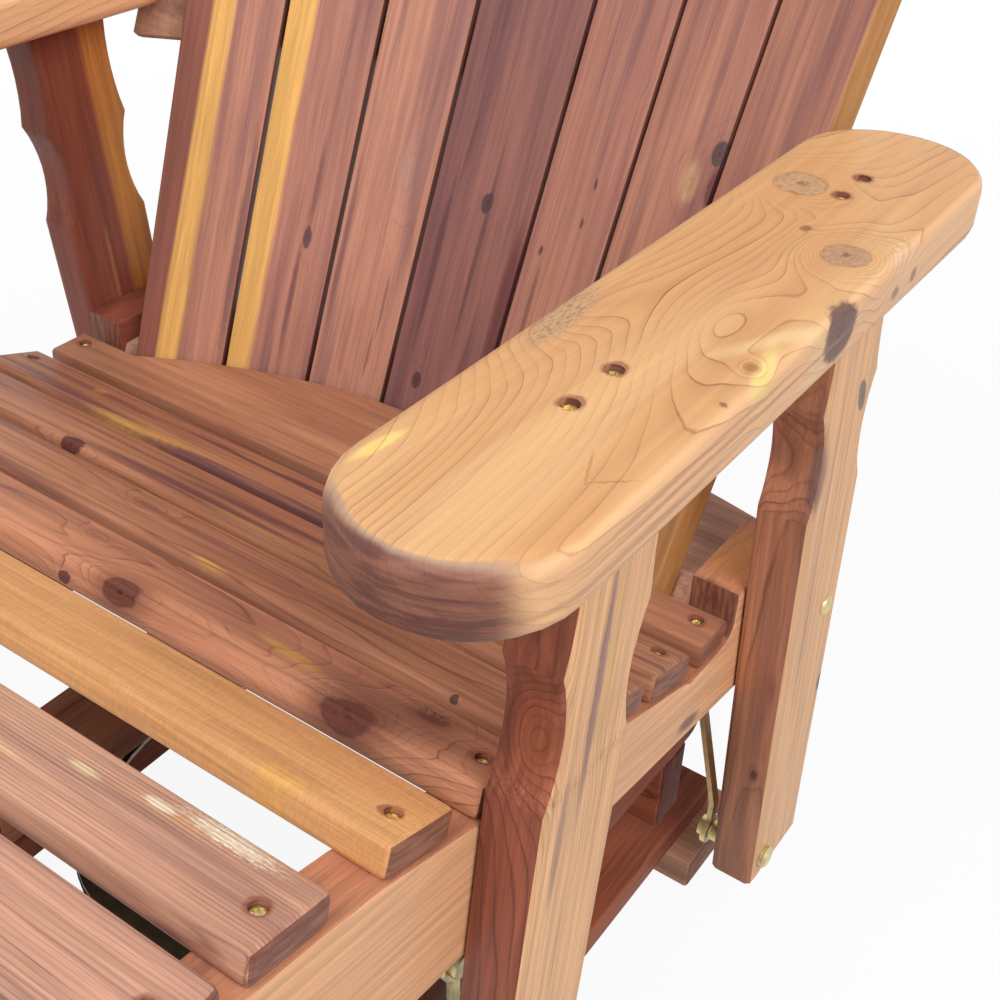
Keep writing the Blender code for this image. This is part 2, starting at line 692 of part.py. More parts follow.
def length_middle():
    """Middle of the glider's length, from the nose of the seat rails to the top of the back."""
    front = slat_point(seat_slat_places()[0], 0.0, SLAT_T + FIT)[0] - RAIL_NOSE
    back = back_front_y(BACK_EDGES[0] * fan(BACK_TOP), BACK_TOP) + SLAT_T * math.cos(RECLINE)
    eased = BACK_EDGE_R * (math.sin(RECLINE) + math.cos(RECLINE)) * (1.0 - math.sqrt(0.5))
    return (front + back - eased) / 2


def build():
    """Build the whole glider, then bring the middle of its length onto the origin."""
    clear_scene()
    wood = make_material("red_cedar", (0.42, 0.20, 0.11), 0.0, 0.45)
    steel = make_material("zinc_plated_steel", (0.62, 0.58, 0.42), 1.0, 0.35)
    rubber = make_material("black_rubber", (0.03, 0.03, 0.03), 0.0, 0.8)
    stand = add_axis("stand", (0.0, 0.0, 0.0))
    swivel = add_axis("swivel_axis", (0.0, 0.0, UPPER_PLATE_Z), stand)
    chair = add_axis("chair_axis", (LINK_LOW_X, PIVOT_Y, PIVOT_LOW_Z), swivel)
    build_base(wood, steel, rubber, stand)
    build_frame(wood, steel, swivel)
    build_links(steel, swivel)
    build_posts(wood, steel, chair)
    build_arms(wood, chair)
    build_seat(wood, chair)
    build_back(wood, chair)
    stand.location.y = -length_middle()


build()
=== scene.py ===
"""Looks of a red cedar swivel glider chair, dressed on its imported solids.

Every board keeps its solid and gets a cedar of its own: growth rings round a pith, sapwood,
knots and streaks in the places where this chair has them. Screws and bolt heads are added.
"""

import logging
import math
from dataclasses import dataclass, field
from enum import Enum

import bmesh
import bpy
import numpy as np
from mathutils import Matrix, Vector


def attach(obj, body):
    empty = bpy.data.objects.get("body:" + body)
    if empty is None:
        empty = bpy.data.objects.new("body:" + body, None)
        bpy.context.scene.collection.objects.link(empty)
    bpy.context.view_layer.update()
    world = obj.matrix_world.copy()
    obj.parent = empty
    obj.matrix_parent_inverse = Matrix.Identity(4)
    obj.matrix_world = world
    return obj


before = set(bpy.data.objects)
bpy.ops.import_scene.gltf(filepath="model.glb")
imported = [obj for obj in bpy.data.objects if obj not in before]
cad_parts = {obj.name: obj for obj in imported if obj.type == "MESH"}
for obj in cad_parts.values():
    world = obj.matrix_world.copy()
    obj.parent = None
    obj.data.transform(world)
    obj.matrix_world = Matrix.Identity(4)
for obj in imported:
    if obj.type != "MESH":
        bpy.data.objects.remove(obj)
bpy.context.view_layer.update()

MM = 0.001
# Radius, in millimetres, of a mark that runs right through its board
THROUGH = 1e5
# Screws are placed along Y from the chair's own datum; this moves them into the frame, in metres
SHIFT_Y = -0.038181
# How far the figure moves from one seed to the next, so that no two boards are alike
SEED_STEP = (7.31, 3.17, 5.73)
LOG = logging.getLogger("glider")

Socket = bpy.types.NodeSocket
Tree = bpy.types.NodeTree
Material = bpy.types.Material
Solid = bpy.types.Object
Nodes = dict[str, Solid]
Pair = tuple[float, float]
Triple = tuple[float, float, float]
PREFIX = {"ShaderNodeTree": "ShaderNode", "GeometryNodeTree": ""}
EASE = {"interpolation_type": "SMOOTHSTEP"}
MIX = {"data_type": "RGBA"}


def linear(code: str) -> tuple[float, float, float, float]:
    """Turn an sRGB hex colour into linear light.

    Args:
        code: six hex digits, such as "c08040".

    Returns:
        Red, green, blue and an alpha of one.
    """
    parts = [int(code[i : i + 2], 16) / 255 for i in (0, 2, 4)]
    red, green, blue = (c / 12.92 if c <= 0.04045 else ((c + 0.055) / 1.055) ** 2.4 for c in parts)
    return red, green, blue, 1.0


def put(tree: Tree, kind: str, feeds: dict | None = None, **settings: object) -> bpy.types.Node:
    """Add a node with its settings, and feed its sockets.

    Args:
        tree: the node tree of a material, a world or a modifier.
        kind: the node's type, without the prefix of a shader node.
        feeds: socket name or number to a value, or to the socket that drives it.
        settings: properties of the node.

    Returns:
        The new node.
    """
    node = tree.nodes.new(PREFIX[tree.bl_idname] + kind)
    for name, value in settings.items():
        setattr(node, name, value)
    for key, value in (feeds or {}).items():
        if isinstance(value, Socket):
            tree.links.new(value, node.inputs[key])
        else:
            node.inputs[key].default_value = value
    return node


def fresh(name: str) -> tuple[Material, Tree]:
    """Make an empty node material.

    Args:
        name: what the material is and how it was made.

    Returns:
        The material and its node tree.
    """
    made = bpy.data.materials.new(name)
    made.use_nodes = True
    made.node_tree.nodes.clear()
    return made, made.node_tree


def span(ends: Pair) -> dict[int, float]:
    """Feeds for the start and the end of the range that is mapped from."""
    return {1: ends[0], 2: ends[1]}


class Tone(Enum):
    """Cuts of red cedar: early wood, a second early tint, late wood, and plum heartwood."""

    HONEY = ("e2b27e", "d9a26f", "804a26", "c69270")
    SAP = ("e6ab72", "db9c66", "ae713c", "c48856")
    ROSE = ("dcaa8c", "cc987f", "74443a", "9a7068")
    RED = ("d99874", "c88666", "6c3629", "764a4c")
    CHERRY = ("c68c69", "b3785a", "743c30", "6c4246")
    SALMON = ("c08770", "b07868", "784640", "724d56")
    EMBER = ("ae6448", "985642", "4f241c", "48241f")
    DEEP = ("9c5640", "8a4938", "4f1f1a", "552828")
    PLUM = ("96645a", "845856", "573434", "4c2e35")


class Facing(Enum):
    """Which way the good face of a board looks."""

    UP = (0.0, 0.0, 1.0)
    FRONT = (0.0, -1.0, 0.0)
    RIGHT = (1.0, 0.0, 0.0)
    LEFT = (-1.0, 0.0, 0.0)


class Along(Enum):
    """Axes of a board: along its grain, across its good face, and through its thickness."""

    GRAIN = 0
    ACROSS = 1
    DEPTH = 2


class Spot(Enum):
    """What an oval in the wood is: a knot, a soft patch or torn grain."""

    KNOT = "knot"
    PATCH = "patch"
    TORN = "torn"


class Figure(Enum):
    """Figures in the wood: size along, across and through in millimetres, detail, and where they show."""

    BEND = ((90.0, 24.0, 24.0), 2.0)
    FRAY = ((5.0, 3.0, 3.0), 2.0)
    CLOUD = ((300.0, 42.0, 42.0), 2.0, 0.36, 0.64)
    STREAK = ((320.0, 15.0, 15.0), 3.0, 0.48, 0.68)
    # Real fibres are too fine to show, so these are drawn coarser
    FIBRE = ((42.0, 1.0, 1.0), 3.0, 0.3, 0.7)
    FLECK = ((3.4, 0.9, 0.9), 4.0, 0.48, 0.6)
    SWIRL = ((5.0, 3.2, 3.2), 4.0)
    FADE = ((110.0, 30.0, 30.0), 2.0, 0.36, 0.6)
    COMB = ((170.0, 4.6, 4.6), 3.0, 0.36, 0.64)
    # Ticks of the planer across the grain, drawn a little coarser than they are
    TICK = ((0.9, 5.0, 5.0), 2.0, 0.35, 0.65)
    BRUISE = ((60.0, 22.0, 2.6), 6.0, 0.36, 0.64)

    def __init__(self, size: Triple, detail: float, start: float = 0.0, end: float = 1.0) -> None:
        """Keep the settings of a figure.

        Args:
            size: its size along, across and through a board, in millimetres.
            detail: how many finer layers it has.
            start: value of the noise at which it begins to show.
            end: value at which it shows fully.
        """
        self.size = size
        self.detail = detail
        self.span = span((start, end))


@dataclass(frozen=True)
class Mark:
    """An oval in the wood, in millimetres from the board's middle along its three axes.

    A radius of THROUGH carries the oval right through the board. Swell counts the growth rings
    that close round it.
    """

    at: Triple
    radii: Triple
    colour: str = ""
    kind: Spot = Spot.PATCH
    strength: float = 0.8
    soft: float = 0.45
    swell: float = 0.0
    turn: float = 0.0
    core: str = "5a3a32"
    halo: float = 0.0
    steep: float = 1.5


@dataclass(frozen=True)
class Band:
    """Wood of another colour on one side of a board, in millimetres from its middle."""

    axis: Along
    start: float
    end: float
    colour: str
    strength: float = 0.95


@dataclass(frozen=True)
class Face:
    """Another colour on the faces that look along an axis, both ways if sign is zero; it carries wood colour
    and painted light and shade.
    """

    axis: Along
    sign: int
    colour: str
    strength: float = 0.95


@dataclass(frozen=True)
class Grain:
    """Middle and axes of a board, measured on its solid."""

    centre: Vector
    turn: Matrix

    @classmethod
    def measure(cls, node: Solid, facing: Facing) -> "Grain":
        """Find a board's axes from how its surface spreads.

        Args:
            node: the board's solid.
            facing: where its good face looks.

        Returns:
            The board's grain.
        """
        mesh = node.data
        mesh.calc_loop_triangles()
        places = np.zeros(len(mesh.vertices) * 3)
        mesh.vertices.foreach_get("co", places)
        corners = np.zeros(len(mesh.loop_triangles) * 3, int)
        mesh.loop_triangles.foreach_get("vertices", corners)
        tris = places.reshape(-1, 3)[corners].reshape(-1, 3, 3)
        area = np.linalg.norm(np.cross(tris[:, 1] - tris[:, 0], tris[:, 2] - tris[:, 0]), axis=1)
        centre = np.average(tris.mean(1), axis=0, weights=area)
        rel = tris - centre
        total = rel.sum(1)
        spread = np.einsum("n,nij,nik->jk", area, rel, rel) + np.einsum("n,nj,nk->jk", area, total, total)
        axes = np.linalg.eigh(spread)[1]
        along, depth = Vector(axes[:, 2]), Vector(axes[:, 0])
        if max(along, key=abs) < 0:
            along = -along
        if depth.dot(Vector(facing.value)) < 0:
            depth = -depth
        return cls(Vector(centre), Matrix((along, depth.cross(along), depth)).transposed())

    def point(self, along: float, across: float, depth: float) -> Vector:
        """Place of a point given in the board's own axes, in metres."""
        return self.centre + self.turn @ Vector((along, across, depth))


@dataclass(frozen=True)
class EasedSkin:
    """Light that runs smoothly over eased edges and round ends, and breaks at sharp corners.

    Points closer than merge, in metres, are one; a corner is sharp from so many degrees.
    """

    name: str = "eased_skin"
    merge: float = 1e-5
    corner: float = 38.0
    weight: int = 90

    def group(self) -> Tree:
        """Find or make the modifier's nodes: merge, smooth the faces, keep the sharp edges.

        Returns:
            The node group, which all the solids share.
        """
        made = bpy.data.node_groups.get(self.name)
        if made:
            return made
        made = bpy.data.node_groups.new(self.name, "GeometryNodeTree")
        for way in ("INPUT", "OUTPUT"):
            made.interface.new_socket("Geometry", in_out=way, socket_type="NodeSocketGeometry")
        solid = put(made, "NodeGroupInput").outputs[0]
        feeds = {"Geometry": solid, "Distance": self.merge}
        whole = put(made, "GeometryNodeMergeByDistance", feeds).outputs[0]
        feeds = {"Geometry": whole, "Shade Smooth": True}
        soft = put(made, "GeometryNodeSetShadeSmooth", feeds, domain="FACE").outputs[0]
        angle = put(made, "GeometryNodeInputMeshEdgeAngle").outputs[0]
        feeds = {0: angle, 1: math.radians(self.corner)}
        sharp = put(made, "FunctionNodeCompare", feeds, operation="GREATER_THAN").outputs[0]
        feeds = {"Geometry": soft, "Selection": sharp, "Shade Smooth": False}
        crisp = put(made, "GeometryNodeSetShadeSmooth", feeds, domain="EDGE").outputs[0]
        put(made, "NodeGroupOutput", {0: crisp})
        return made

    def wrap(self, node: Solid) -> None:
        """Put the skin on a solid without changing its mesh.

        Args:
            node: the solid.
        """
        node.modifiers.new(self.name, "NODES").node_group = self.group()
        even = node.modifiers.new("even_faces", "WEIGHTED_NORMAL")
        even.weight = self.weight
        even.keep_sharp = True


@dataclass(frozen=True)
class CedarBoard:
    """Planed red cedar under a clear satin coat.

    The eye sees growth rings as thin brown contour lines on a honey, rose or red ground, plum
    streaks of heartwood, creamy sapwood, knots that the rings close round, and darker end grain.
    Sizes are in millimetres.
    """

    node: str
    facing: Facing
    tone: Tone
    seed: float = 0.0
    pitch: float = 4.5
    pith: Pair = (4.0, -45.0)
    lean: float = 0.012
    wander: float = 14.0
    lines: float = 0.6
    thin: float = 0.9
    streaks: float = 0.4
    ticks: float = 0.0
    quiet: float = 0.5
    fuzz: float = 1.0
    combed: float = 0.13
    gloss: float = 1.0
    end: tuple[str, str, str] = ("b98c70", "9a6650", "744236")
    end_from: Pair = (0.6, 0.85)
    marks: tuple[Mark, ...] = ()
    bands: tuple[Band, ...] = ()
    faces: tuple[Face, ...] = ()
    bend: Triple = (6.0, 1.5, 1.5)
    fray: Triple = (1.5, 0.9, 0.9)
    swell_fall: float = 0.62
    rag: float = 0.35
    outline: float = 1.17
    knot_curl: float = 0.5
    knot_span: Pair = (0.48, 1.45)
    knot_rings: tuple[float, ...] = (0.14, 0.26, 0.36, 0.5, 0.6, 0.72, 0.9)
    halo_span: Pair = (1.0, 2.6)
    corner_span: Pair = (0.3, 0.52)
    corner_most: float = 0.92
    square_span: Pair = (0.28, 0.66)
    cut_lines: float = 0.5
    face_span: Pair = (0.4, 0.8)
    faintest: float = 0.3
    fibre_light: Pair = (0.14, 0.1)
    comb_light: float = 0.7
    satin: Pair = (0.4, 0.56)
    groove: float = 0.6
    relief: float = 0.5
    relief_strength: float = 0.28
    shine: float = 0.24
    coat: float = 0.05
    coat_rough: float = 0.28

    def dress(self, node: Solid) -> Grain:
        """Give the board's solid its cedar.

        Args:
            node: the board's solid.

        Returns:
            The board's grain, for what is fixed to it.
        """
        grain = Grain.measure(node, self.facing)
        node.data.materials.clear()
        node.data.materials.append(self.material(grain))
        EasedSkin().wrap(node)
        return grain

    def figure(self, tree: Tree, where: Socket, kind: Figure) -> bpy.types.Node:
        """Draw a figure in the wood.

        Args:
            tree: the material's node tree.
            where: the point in the board's axes, in metres.
            kind: which figure.

        Returns:
            The noise, with a value and a colour.
        """
        scale = [1.0 / (s * MM) for s in kind.size]
        offset = [self.seed * step for step in SEED_STEP]
        spot = put(tree, "Mapping", {"Vector": where, "Location": offset, "Scale": scale})
        return put(tree, "TexNoise", {"Vector": spot.outputs[0], "Scale": 1.0, "Detail": kind.detail})

    def shaken(self, tree: Tree, where: Socket, kind: Figure, reach: Triple) -> Socket:
        """Move a point a little, so that lines bend and outlines fray.

        Args:
            tree: the material's node tree.
            where: the point in the board's axes, in metres.
            kind: the figure that moves it.
            reach: how far it can move, in millimetres.

        Returns:
            The moved point.
        """
        shake = self.figure(tree, where, kind).outputs["Color"]
        feeds = {0: shake, 1: [2 * r * MM for r in reach], 2: [-r * MM for r in reach]}
        nudge = put(tree, "VectorMath", feeds, operation="MULTIPLY_ADD").outputs[0]
        return put(tree, "VectorMath", {0: where, 1: nudge}, operation="ADD").outputs[0]

    def away(self, tree: Tree, where: Socket, mark: Mark) -> Socket:
        """Measure how far a point lies from the middle of a mark.

        Args:
            tree: the material's node tree.
            where: the point in the board's axes, in metres.
            mark: the mark.

        Returns:
            The distance, as a multiple of the mark's radius.
        """
        feeds = {"Vector": where, "Location": [a * MM for a in mark.at]}
        feeds["Scale"] = [r * MM for r in mark.radii]
        feeds["Rotation"] = (0.0, 0.0, math.radians(mark.turn))
        spot = put(tree, "Mapping", feeds, vector_type="TEXTURE")
        return put(tree, "VectorMath", {0: spot.outputs[0]}, operation="LENGTH").outputs["Value"]

    def rings(
        self, tree: Tree, where: Socket, cloud: Socket, swells: list[tuple[Mark, Socket]]
    ) -> Socket:
        """Growth rings round the pith, closed round the knots.

        Args:
            tree: the material's node tree.
            where: the point in the board's axes, in metres.
            cloud: slow figure that the rings wander by.
            swells: pairs of a mark and how far the point is from it.

        Returns:
            How many rings lie between the point and the pith.
        """
        pith = (0.0, -self.pith[0] * MM, -self.pith[1] * MM)
        feeds = {0: where, 1: (0.0, 1.0, 1.0), 2: pith}
        spoke = put(tree, "VectorMath", feeds, operation="MULTIPLY_ADD").outputs[0]
        radius = put(tree, "VectorMath", {0: spoke}, operation="LENGTH").outputs["Value"]
        split = put(tree, "SeparateXYZ", {0: where})
        feeds = {0: split.outputs["X"], 1: self.lean, 2: radius}
        leant = put(tree, "Math", feeds, operation="MULTIPLY_ADD").outputs[0]
        feeds = {0: cloud, 1: self.wander * MM, 2: leant}
        depth = put(tree, "Math", feeds, operation="MULTIPLY_ADD").outputs[0]
        for mark, far in swells:
            power = put(tree, "Math", {0: far, 1: mark.steep}, operation="POWER").outputs[0]
            fall = put(tree, "Math", {0: self.swell_fall, 1: power}, operation="POWER").outputs[0]
            feeds = {0: fall, 1: mark.swell * self.pitch * MM, 2: depth}
            depth = put(tree, "Math", feeds, operation="MULTIPLY_ADD").outputs[0]
        return put(tree, "Math", {0: depth, 1: self.pitch * MM}, operation="DIVIDE").outputs[0]

    def late_wood(self, tree: Tree, rings: Socket) -> Socket:
        """Late wood: a soft darkening through each ring that ends in a thin line.

        Args:
            tree: the material's node tree.
            rings: how many rings lie under the point.

        Returns:
            How much late wood shows, from zero to one.
        """
        turn = put(tree, "Math", {0: rings}, operation="FRACT").outputs[0]
        ramp = put(tree, "ValToRGB", {0: turn})
        stops = ramp.color_ramp.elements
        for stop in stops:
            stop.color = (0.0, 0.0, 0.0, 1.0)
        # Where in a ring the wood darkens, and how much: slowly, then faster, then in a line
        rest = 1.0 - self.thin
        steps = ((self.thin * 0.55, 0.05), (self.thin, 0.26), (self.thin + rest * 0.45, 1.0))
        for place, value in steps:
            stops.new(place).color = (value, value, value, 1.0)
        count = put(tree, "Math", {0: rings}, operation="FLOOR").outputs[0]
        chance = put(tree, "TexWhiteNoise", {"W": count}, noise_dimensions="1D").outputs["Value"]
        weight = put(tree, "MapRange", {0: chance, 3: self.lines * 0.4, 4: self.lines}).outputs[0]
        return put(tree, "Math", {0: ramp.outputs[0], 1: weight}, operation="MULTIPLY").outputs[0]

    def blot(
        self, tree: Tree, shade: Socket, far: Socket, mark: Mark, flecks: Socket, swirl: Socket
    ) -> Socket:
        """Lay a mark over the wood.

        Args:
            tree: the material's node tree.
            shade: the wood's colour so far.
            far: how far the point is from the mark, as a multiple of its radius.
            mark: the mark.
            flecks: fine figure that breaks up torn grain and patches.
            swirl: round figure that breaks up knots.

        Returns:
            The wood's colour with the mark.
        """
        feeds = {0: swirl if mark.kind is Spot.KNOT else flecks, 1: self.rag, 2: far}
        rough = put(tree, "Math", feeds, operation="MULTIPLY_ADD").outputs[0]
        ends = (self.outline - mark.soft, self.outline + mark.soft)
        part = put(tree, "MapRange", {0: rough, **span(ends), 3: mark.strength, 4: 0.0}, **EASE).outputs[0]
        tint: Socket | tuple = linear(mark.colour)
        if mark.kind is Spot.TORN:
            torn = put(tree, "MapRange", {0: flecks, **Figure.FLECK.span}, **EASE).outputs[0]
            part = put(tree, "Math", {0: part, 1: torn}, operation="MULTIPLY").outputs[0]
        elif mark.kind is Spot.KNOT:
            feeds = {0: swirl, 1: self.knot_curl, 2: rough}
            curl = put(tree, "Math", feeds, operation="MULTIPLY_ADD").outputs[0]
            share = put(tree, "MapRange", {0: curl, **span(self.knot_span)}).outputs[0]
            ramp = put(tree, "ValToRGB", {0: share})
            stops = ramp.color_ramp.elements
            body, core = linear(mark.colour), linear(mark.core)
            middling = [0.5 * (a + b) for a, b in zip(body, core)]
            for stop in stops:
                stop.color = core
            for i, place in enumerate(self.knot_rings):
                stops.new(place).color = body if i % 2 else middling
            tint = ramp.outputs[0]
            if mark.halo:
                feeds = {0: rough, **span(self.halo_span), 3: mark.halo, 4: 0.0}
                bruise = put(tree, "MapRange", feeds, **EASE).outputs[0]
                shade = put(tree, "Mix", {0: bruise, 6: shade, 7: body}, **MIX).outputs[2]
        return put(tree, "Mix", {0: part, 6: shade, 7: tint}, **MIX).outputs[2]

    def cosine(self, tree: Tree, grain: Grain, axis: Along, sign: int) -> Socket:
        """Measure how squarely the surface looks along an axis.

        Args:
            tree: the material's node tree.
            grain: the board's middle and axes.
            axis: the axis.
            sign: one or minus one for one way along it, zero for either.

        Returns:
            The cosine of the angle between them.
        """
        normal = put(tree, "TexCoord").outputs["Normal"]
        feeds = {0: normal, 1: grain.turn.col[axis.value] * (sign or 1)}
        facing = put(tree, "VectorMath", feeds, operation="DOT_PRODUCT").outputs["Value"]
        if sign:
            return facing
        return put(tree, "Math", {0: facing}, operation="ABSOLUTE").outputs[0]

    def end_grain(self, tree: Tree, grain: Grain, true: Socket, faint: Socket) -> tuple[Socket, Socket]:
        """End grain: dull on the eased edge, dark and streaked on the cut.

        Args:
            tree: the material's node tree.
            grain: the board's middle and axes.
            true: the point in the board's axes, in metres.
            faint: late wood that shows in the cut.

        Returns:
            How much of it shows, and its colour.
        """
        along = self.cosine(tree, grain, Along.GRAIN, 0)
        across = self.cosine(tree, grain, Along.ACROSS, 0)
        both = put(tree, "Math", {0: along, 1: across}, operation="ADD").outputs[0]
        ratio = put(tree, "Math", {0: along, 1: both}, operation="DIVIDE").outputs[0]
        feeds = {0: ratio, **span(self.corner_span), 4: self.corner_most}
        round_corner = put(tree, "MapRange", feeds, **EASE).outputs[0]
        over_edge = put(tree, "MapRange", {0: along, **span(self.end_from)}, **EASE).outputs[0]
        part = put(tree, "Math", {0: round_corner, 1: over_edge}, operation="MULTIPLY").outputs[0]
        dull, brown, dark = (linear(code) for code in self.end)
        bruise = self.figure(tree, true, Figure.BRUISE).outputs[0]
        bruise = put(tree, "MapRange", {0: bruise, **Figure.BRUISE.span}, **EASE).outputs[0]
        deep = put(tree, "Mix", {0: bruise, 6: brown, 7: dark}, **MIX).outputs[2]
        square = put(tree, "MapRange", {0: along, **span(self.square_span)}, **EASE).outputs[0]
        tint = put(tree, "Mix", {0: square, 6: dull, 7: deep}, **MIX).outputs[2]
        return part, put(tree, "Mix", {0: faint, 6: tint, 7: dark}, **MIX).outputs[2]

    def material(self, grain: Grain) -> Material:
        """Make the board's cedar.

        Args:
            grain: the board's middle and axes.

        Returns:
            The material, on object coordinates.
        """
        made, tree = fresh("planed_red_cedar_" + self.node)
        early, second, late, plum = (linear(code) for code in self.tone.value)
        feeds = {"Vector": put(tree, "TexCoord").outputs["Object"], "Location": grain.centre}
        feeds["Rotation"] = grain.turn.to_euler("XYZ")
        true = put(tree, "Mapping", feeds, vector_type="TEXTURE").outputs[0]
        where = self.shaken(tree, true, Figure.BEND, self.bend)
        ragged = self.shaken(tree, where, Figure.FRAY, self.fray)
        kinds = (Figure.CLOUD, Figure.STREAK, Figure.FIBRE, Figure.FLECK, Figure.SWIRL, Figure.FADE)
        figures = [self.figure(tree, true, kind).outputs[0] for kind in kinds]
        cloud, streak, fibre, flecks, swirl, fade = figures
        swells = [(mark, self.away(tree, where, mark)) for mark in self.marks if mark.swell]
        rings = self.rings(tree, where, cloud, swells)
        line = self.late_wood(tree, rings)
        feeds = {0: fade, **Figure.FADE.span, 3: self.faintest, 4: 1.0}
        shown = put(tree, "MapRange", feeds).outputs[0]
        line = put(tree, "Math", {0: line, 1: shown}, operation="MULTIPLY").outputs[0]

        # Ground: two early tints, then plum streaks, sapwood bands, face tints that carry painted light and
        # shade, marks and late wood
        half = put(tree, "MapRange", {0: cloud, **Figure.CLOUD.span}, **EASE).outputs[0]
        shade = put(tree, "Mix", {0: half, 6: early, 7: second}, **MIX).outputs[2]
        feeds = {0: streak, **Figure.STREAK.span, 4: self.streaks}
        veil = put(tree, "MapRange", feeds, **EASE).outputs[0]
        shade = put(tree, "Mix", {0: veil, 6: shade, 7: plum}, **MIX).outputs[2]
        axes = put(tree, "SeparateXYZ", {0: where})
        parts = []
        for band in self.bands:
            ends = (band.start * MM, band.end * MM)
            feeds = {0: axes.outputs[band.axis.value], **span(ends), 4: band.strength}
            parts.append((put(tree, "MapRange", feeds, **EASE).outputs[0], band.colour))
        # Face tints: several of them are painted light or painted shade on whole sides of a board
        for face in self.faces:
            square = self.cosine(tree, grain, face.axis, face.sign)
            feeds = {0: square, **span(self.face_span), 4: face.strength}
            parts.append((put(tree, "MapRange", feeds, **EASE).outputs[0], face.colour))
        for part, colour in parts:
            shade = put(tree, "Mix", {0: part, 6: shade, 7: linear(colour)}, **MIX).outputs[2]
            calm = put(tree, "MapRange", {0: part, 3: 1.0, 4: self.quiet}).outputs[0]
            line = put(tree, "Math", {0: line, 1: calm}, operation="MULTIPLY").outputs[0]
        for mark in self.marks:
            if mark.colour:
                shade = self.blot(tree, shade, self.away(tree, ragged, mark), mark, flecks, swirl)
        shade = put(tree, "Mix", {0: line, 6: shade, 7: late}, **MIX).outputs[2]

        # Fibre, combed streaks and planer ticks make the wood lighter and darker
        less, more = (level * self.fuzz for level in self.fibre_light)
        feeds = {0: fibre, **Figure.FIBRE.span, 3: 1 - less, 4: 1 + more}
        dust = put(tree, "MapRange", feeds).outputs[0]
        layers = [(Figure.COMB, where, self.combed, self.comb_light * self.combed)]
        if self.ticks:
            layers.append((Figure.TICK, true, self.ticks, self.ticks))
        for kind, spot, less, more in layers:
            layer = self.figure(tree, spot, kind).outputs[0]
            layer = put(tree, "MapRange", {0: layer, **kind.span, 3: 1 - less, 4: 1 + more}).outputs[0]
            dust = put(tree, "Math", {0: dust, 1: layer}, operation="MULTIPLY").outputs[0]
        shade = put(tree, "VectorMath", {0: shade, "Scale": dust}, operation="SCALE").outputs[0]
        faint = put(tree, "Math", {0: line, 1: self.cut_lines}, operation="MULTIPLY").outputs[0]
        part, tint = self.end_grain(tree, grain, true, faint)
        shade = put(tree, "Mix", {0: part, 6: shade, 7: tint}, **MIX).outputs[2]

        # Satin coat over fibre, with the late lines a little lower
        feeds = {0: fibre, **Figure.FIBRE.span, 3: self.satin[0], 4: self.satin[1]}
        rough = put(tree, "MapRange", feeds).outputs[0]
        nap = put(tree, "Math", {0: fibre, 1: self.fuzz}, operation="MULTIPLY").outputs[0]
        feeds = {0: line, 1: -self.groove, 2: nap}
        height = put(tree, "Math", feeds, operation="MULTIPLY_ADD").outputs[0]
        feeds = {"Height": height, "Strength": self.relief_strength, "Distance": self.relief * MM}
        bump = put(tree, "Bump", feeds).outputs[0]
        feeds = {"Base Color": shade, "Roughness": rough, "Normal": bump, "Coat Roughness": self.coat_rough}
        feeds |= {"Specular IOR Level": self.shine * self.gloss, "Coat Weight": self.coat * self.gloss}
        put(tree, "OutputMaterial", {"Surface": put(tree, "BsdfPrincipled", feeds).outputs[0]})
        return made


@dataclass(frozen=True)
class ZincSteel:
    """Steel plated with yellow zinc: a pale gold metal with a faint green and pink bloom.

    Sizes are in millimetres. The real grit is too fine to show, so it is drawn coarser.
    """

    name: str = "yellow_zinc_plated_steel"
    gold: str = "e2ca92"
    green: str = "c4bc8e"
    pink: str = "b8966f"
    bloom: float = 9.0
    grit: float = 0.6
    green_span: Pair = (0.4, 0.62)
    pink_span: Pair = (0.62, 0.75)
    satin: Pair = (0.32, 0.52)
    relief: float = 0.2
    relief_strength: float = 0.15

    def material(self) -> Material:
        """Make the plating.

        Returns:
            The material, on object coordinates.
        """
        made, tree = fresh(self.name)
        where = put(tree, "TexCoord").outputs["Object"]
        feeds = {"Vector": where, "Scale": 1 / (self.bloom * MM), "Detail": 2.0}
        bloom = put(tree, "TexNoise", feeds).outputs[0]
        feeds = {"Vector": where, "Scale": 1 / (self.grit * MM), "Detail": 1.0}
        grit = put(tree, "TexNoise", feeds).outputs[0]
        shade: Socket | tuple = linear(self.gold)
        for ends, colour in ((self.green_span, self.green), (self.pink_span, self.pink)):
            part = put(tree, "MapRange", {0: bloom, **span(ends)}).outputs[0]
            shade = put(tree, "Mix", {0: part, 6: shade, 7: linear(colour)}, **MIX).outputs[2]
        rough = put(tree, "MapRange", {0: grit, 3: self.satin[0], 4: self.satin[1]}).outputs[0]
        feeds = {"Height": grit, "Strength": self.relief_strength, "Distance": self.relief * MM}
        bump = put(tree, "Bump", feeds).outputs[0]
        feeds = {"Base Color": shade, "Roughness": rough, "Normal": bump, "Metallic": 1.0}
        put(tree, "OutputMaterial", {"Surface": put(tree, "BsdfPrincipled", feeds).outputs[0]})
        return made


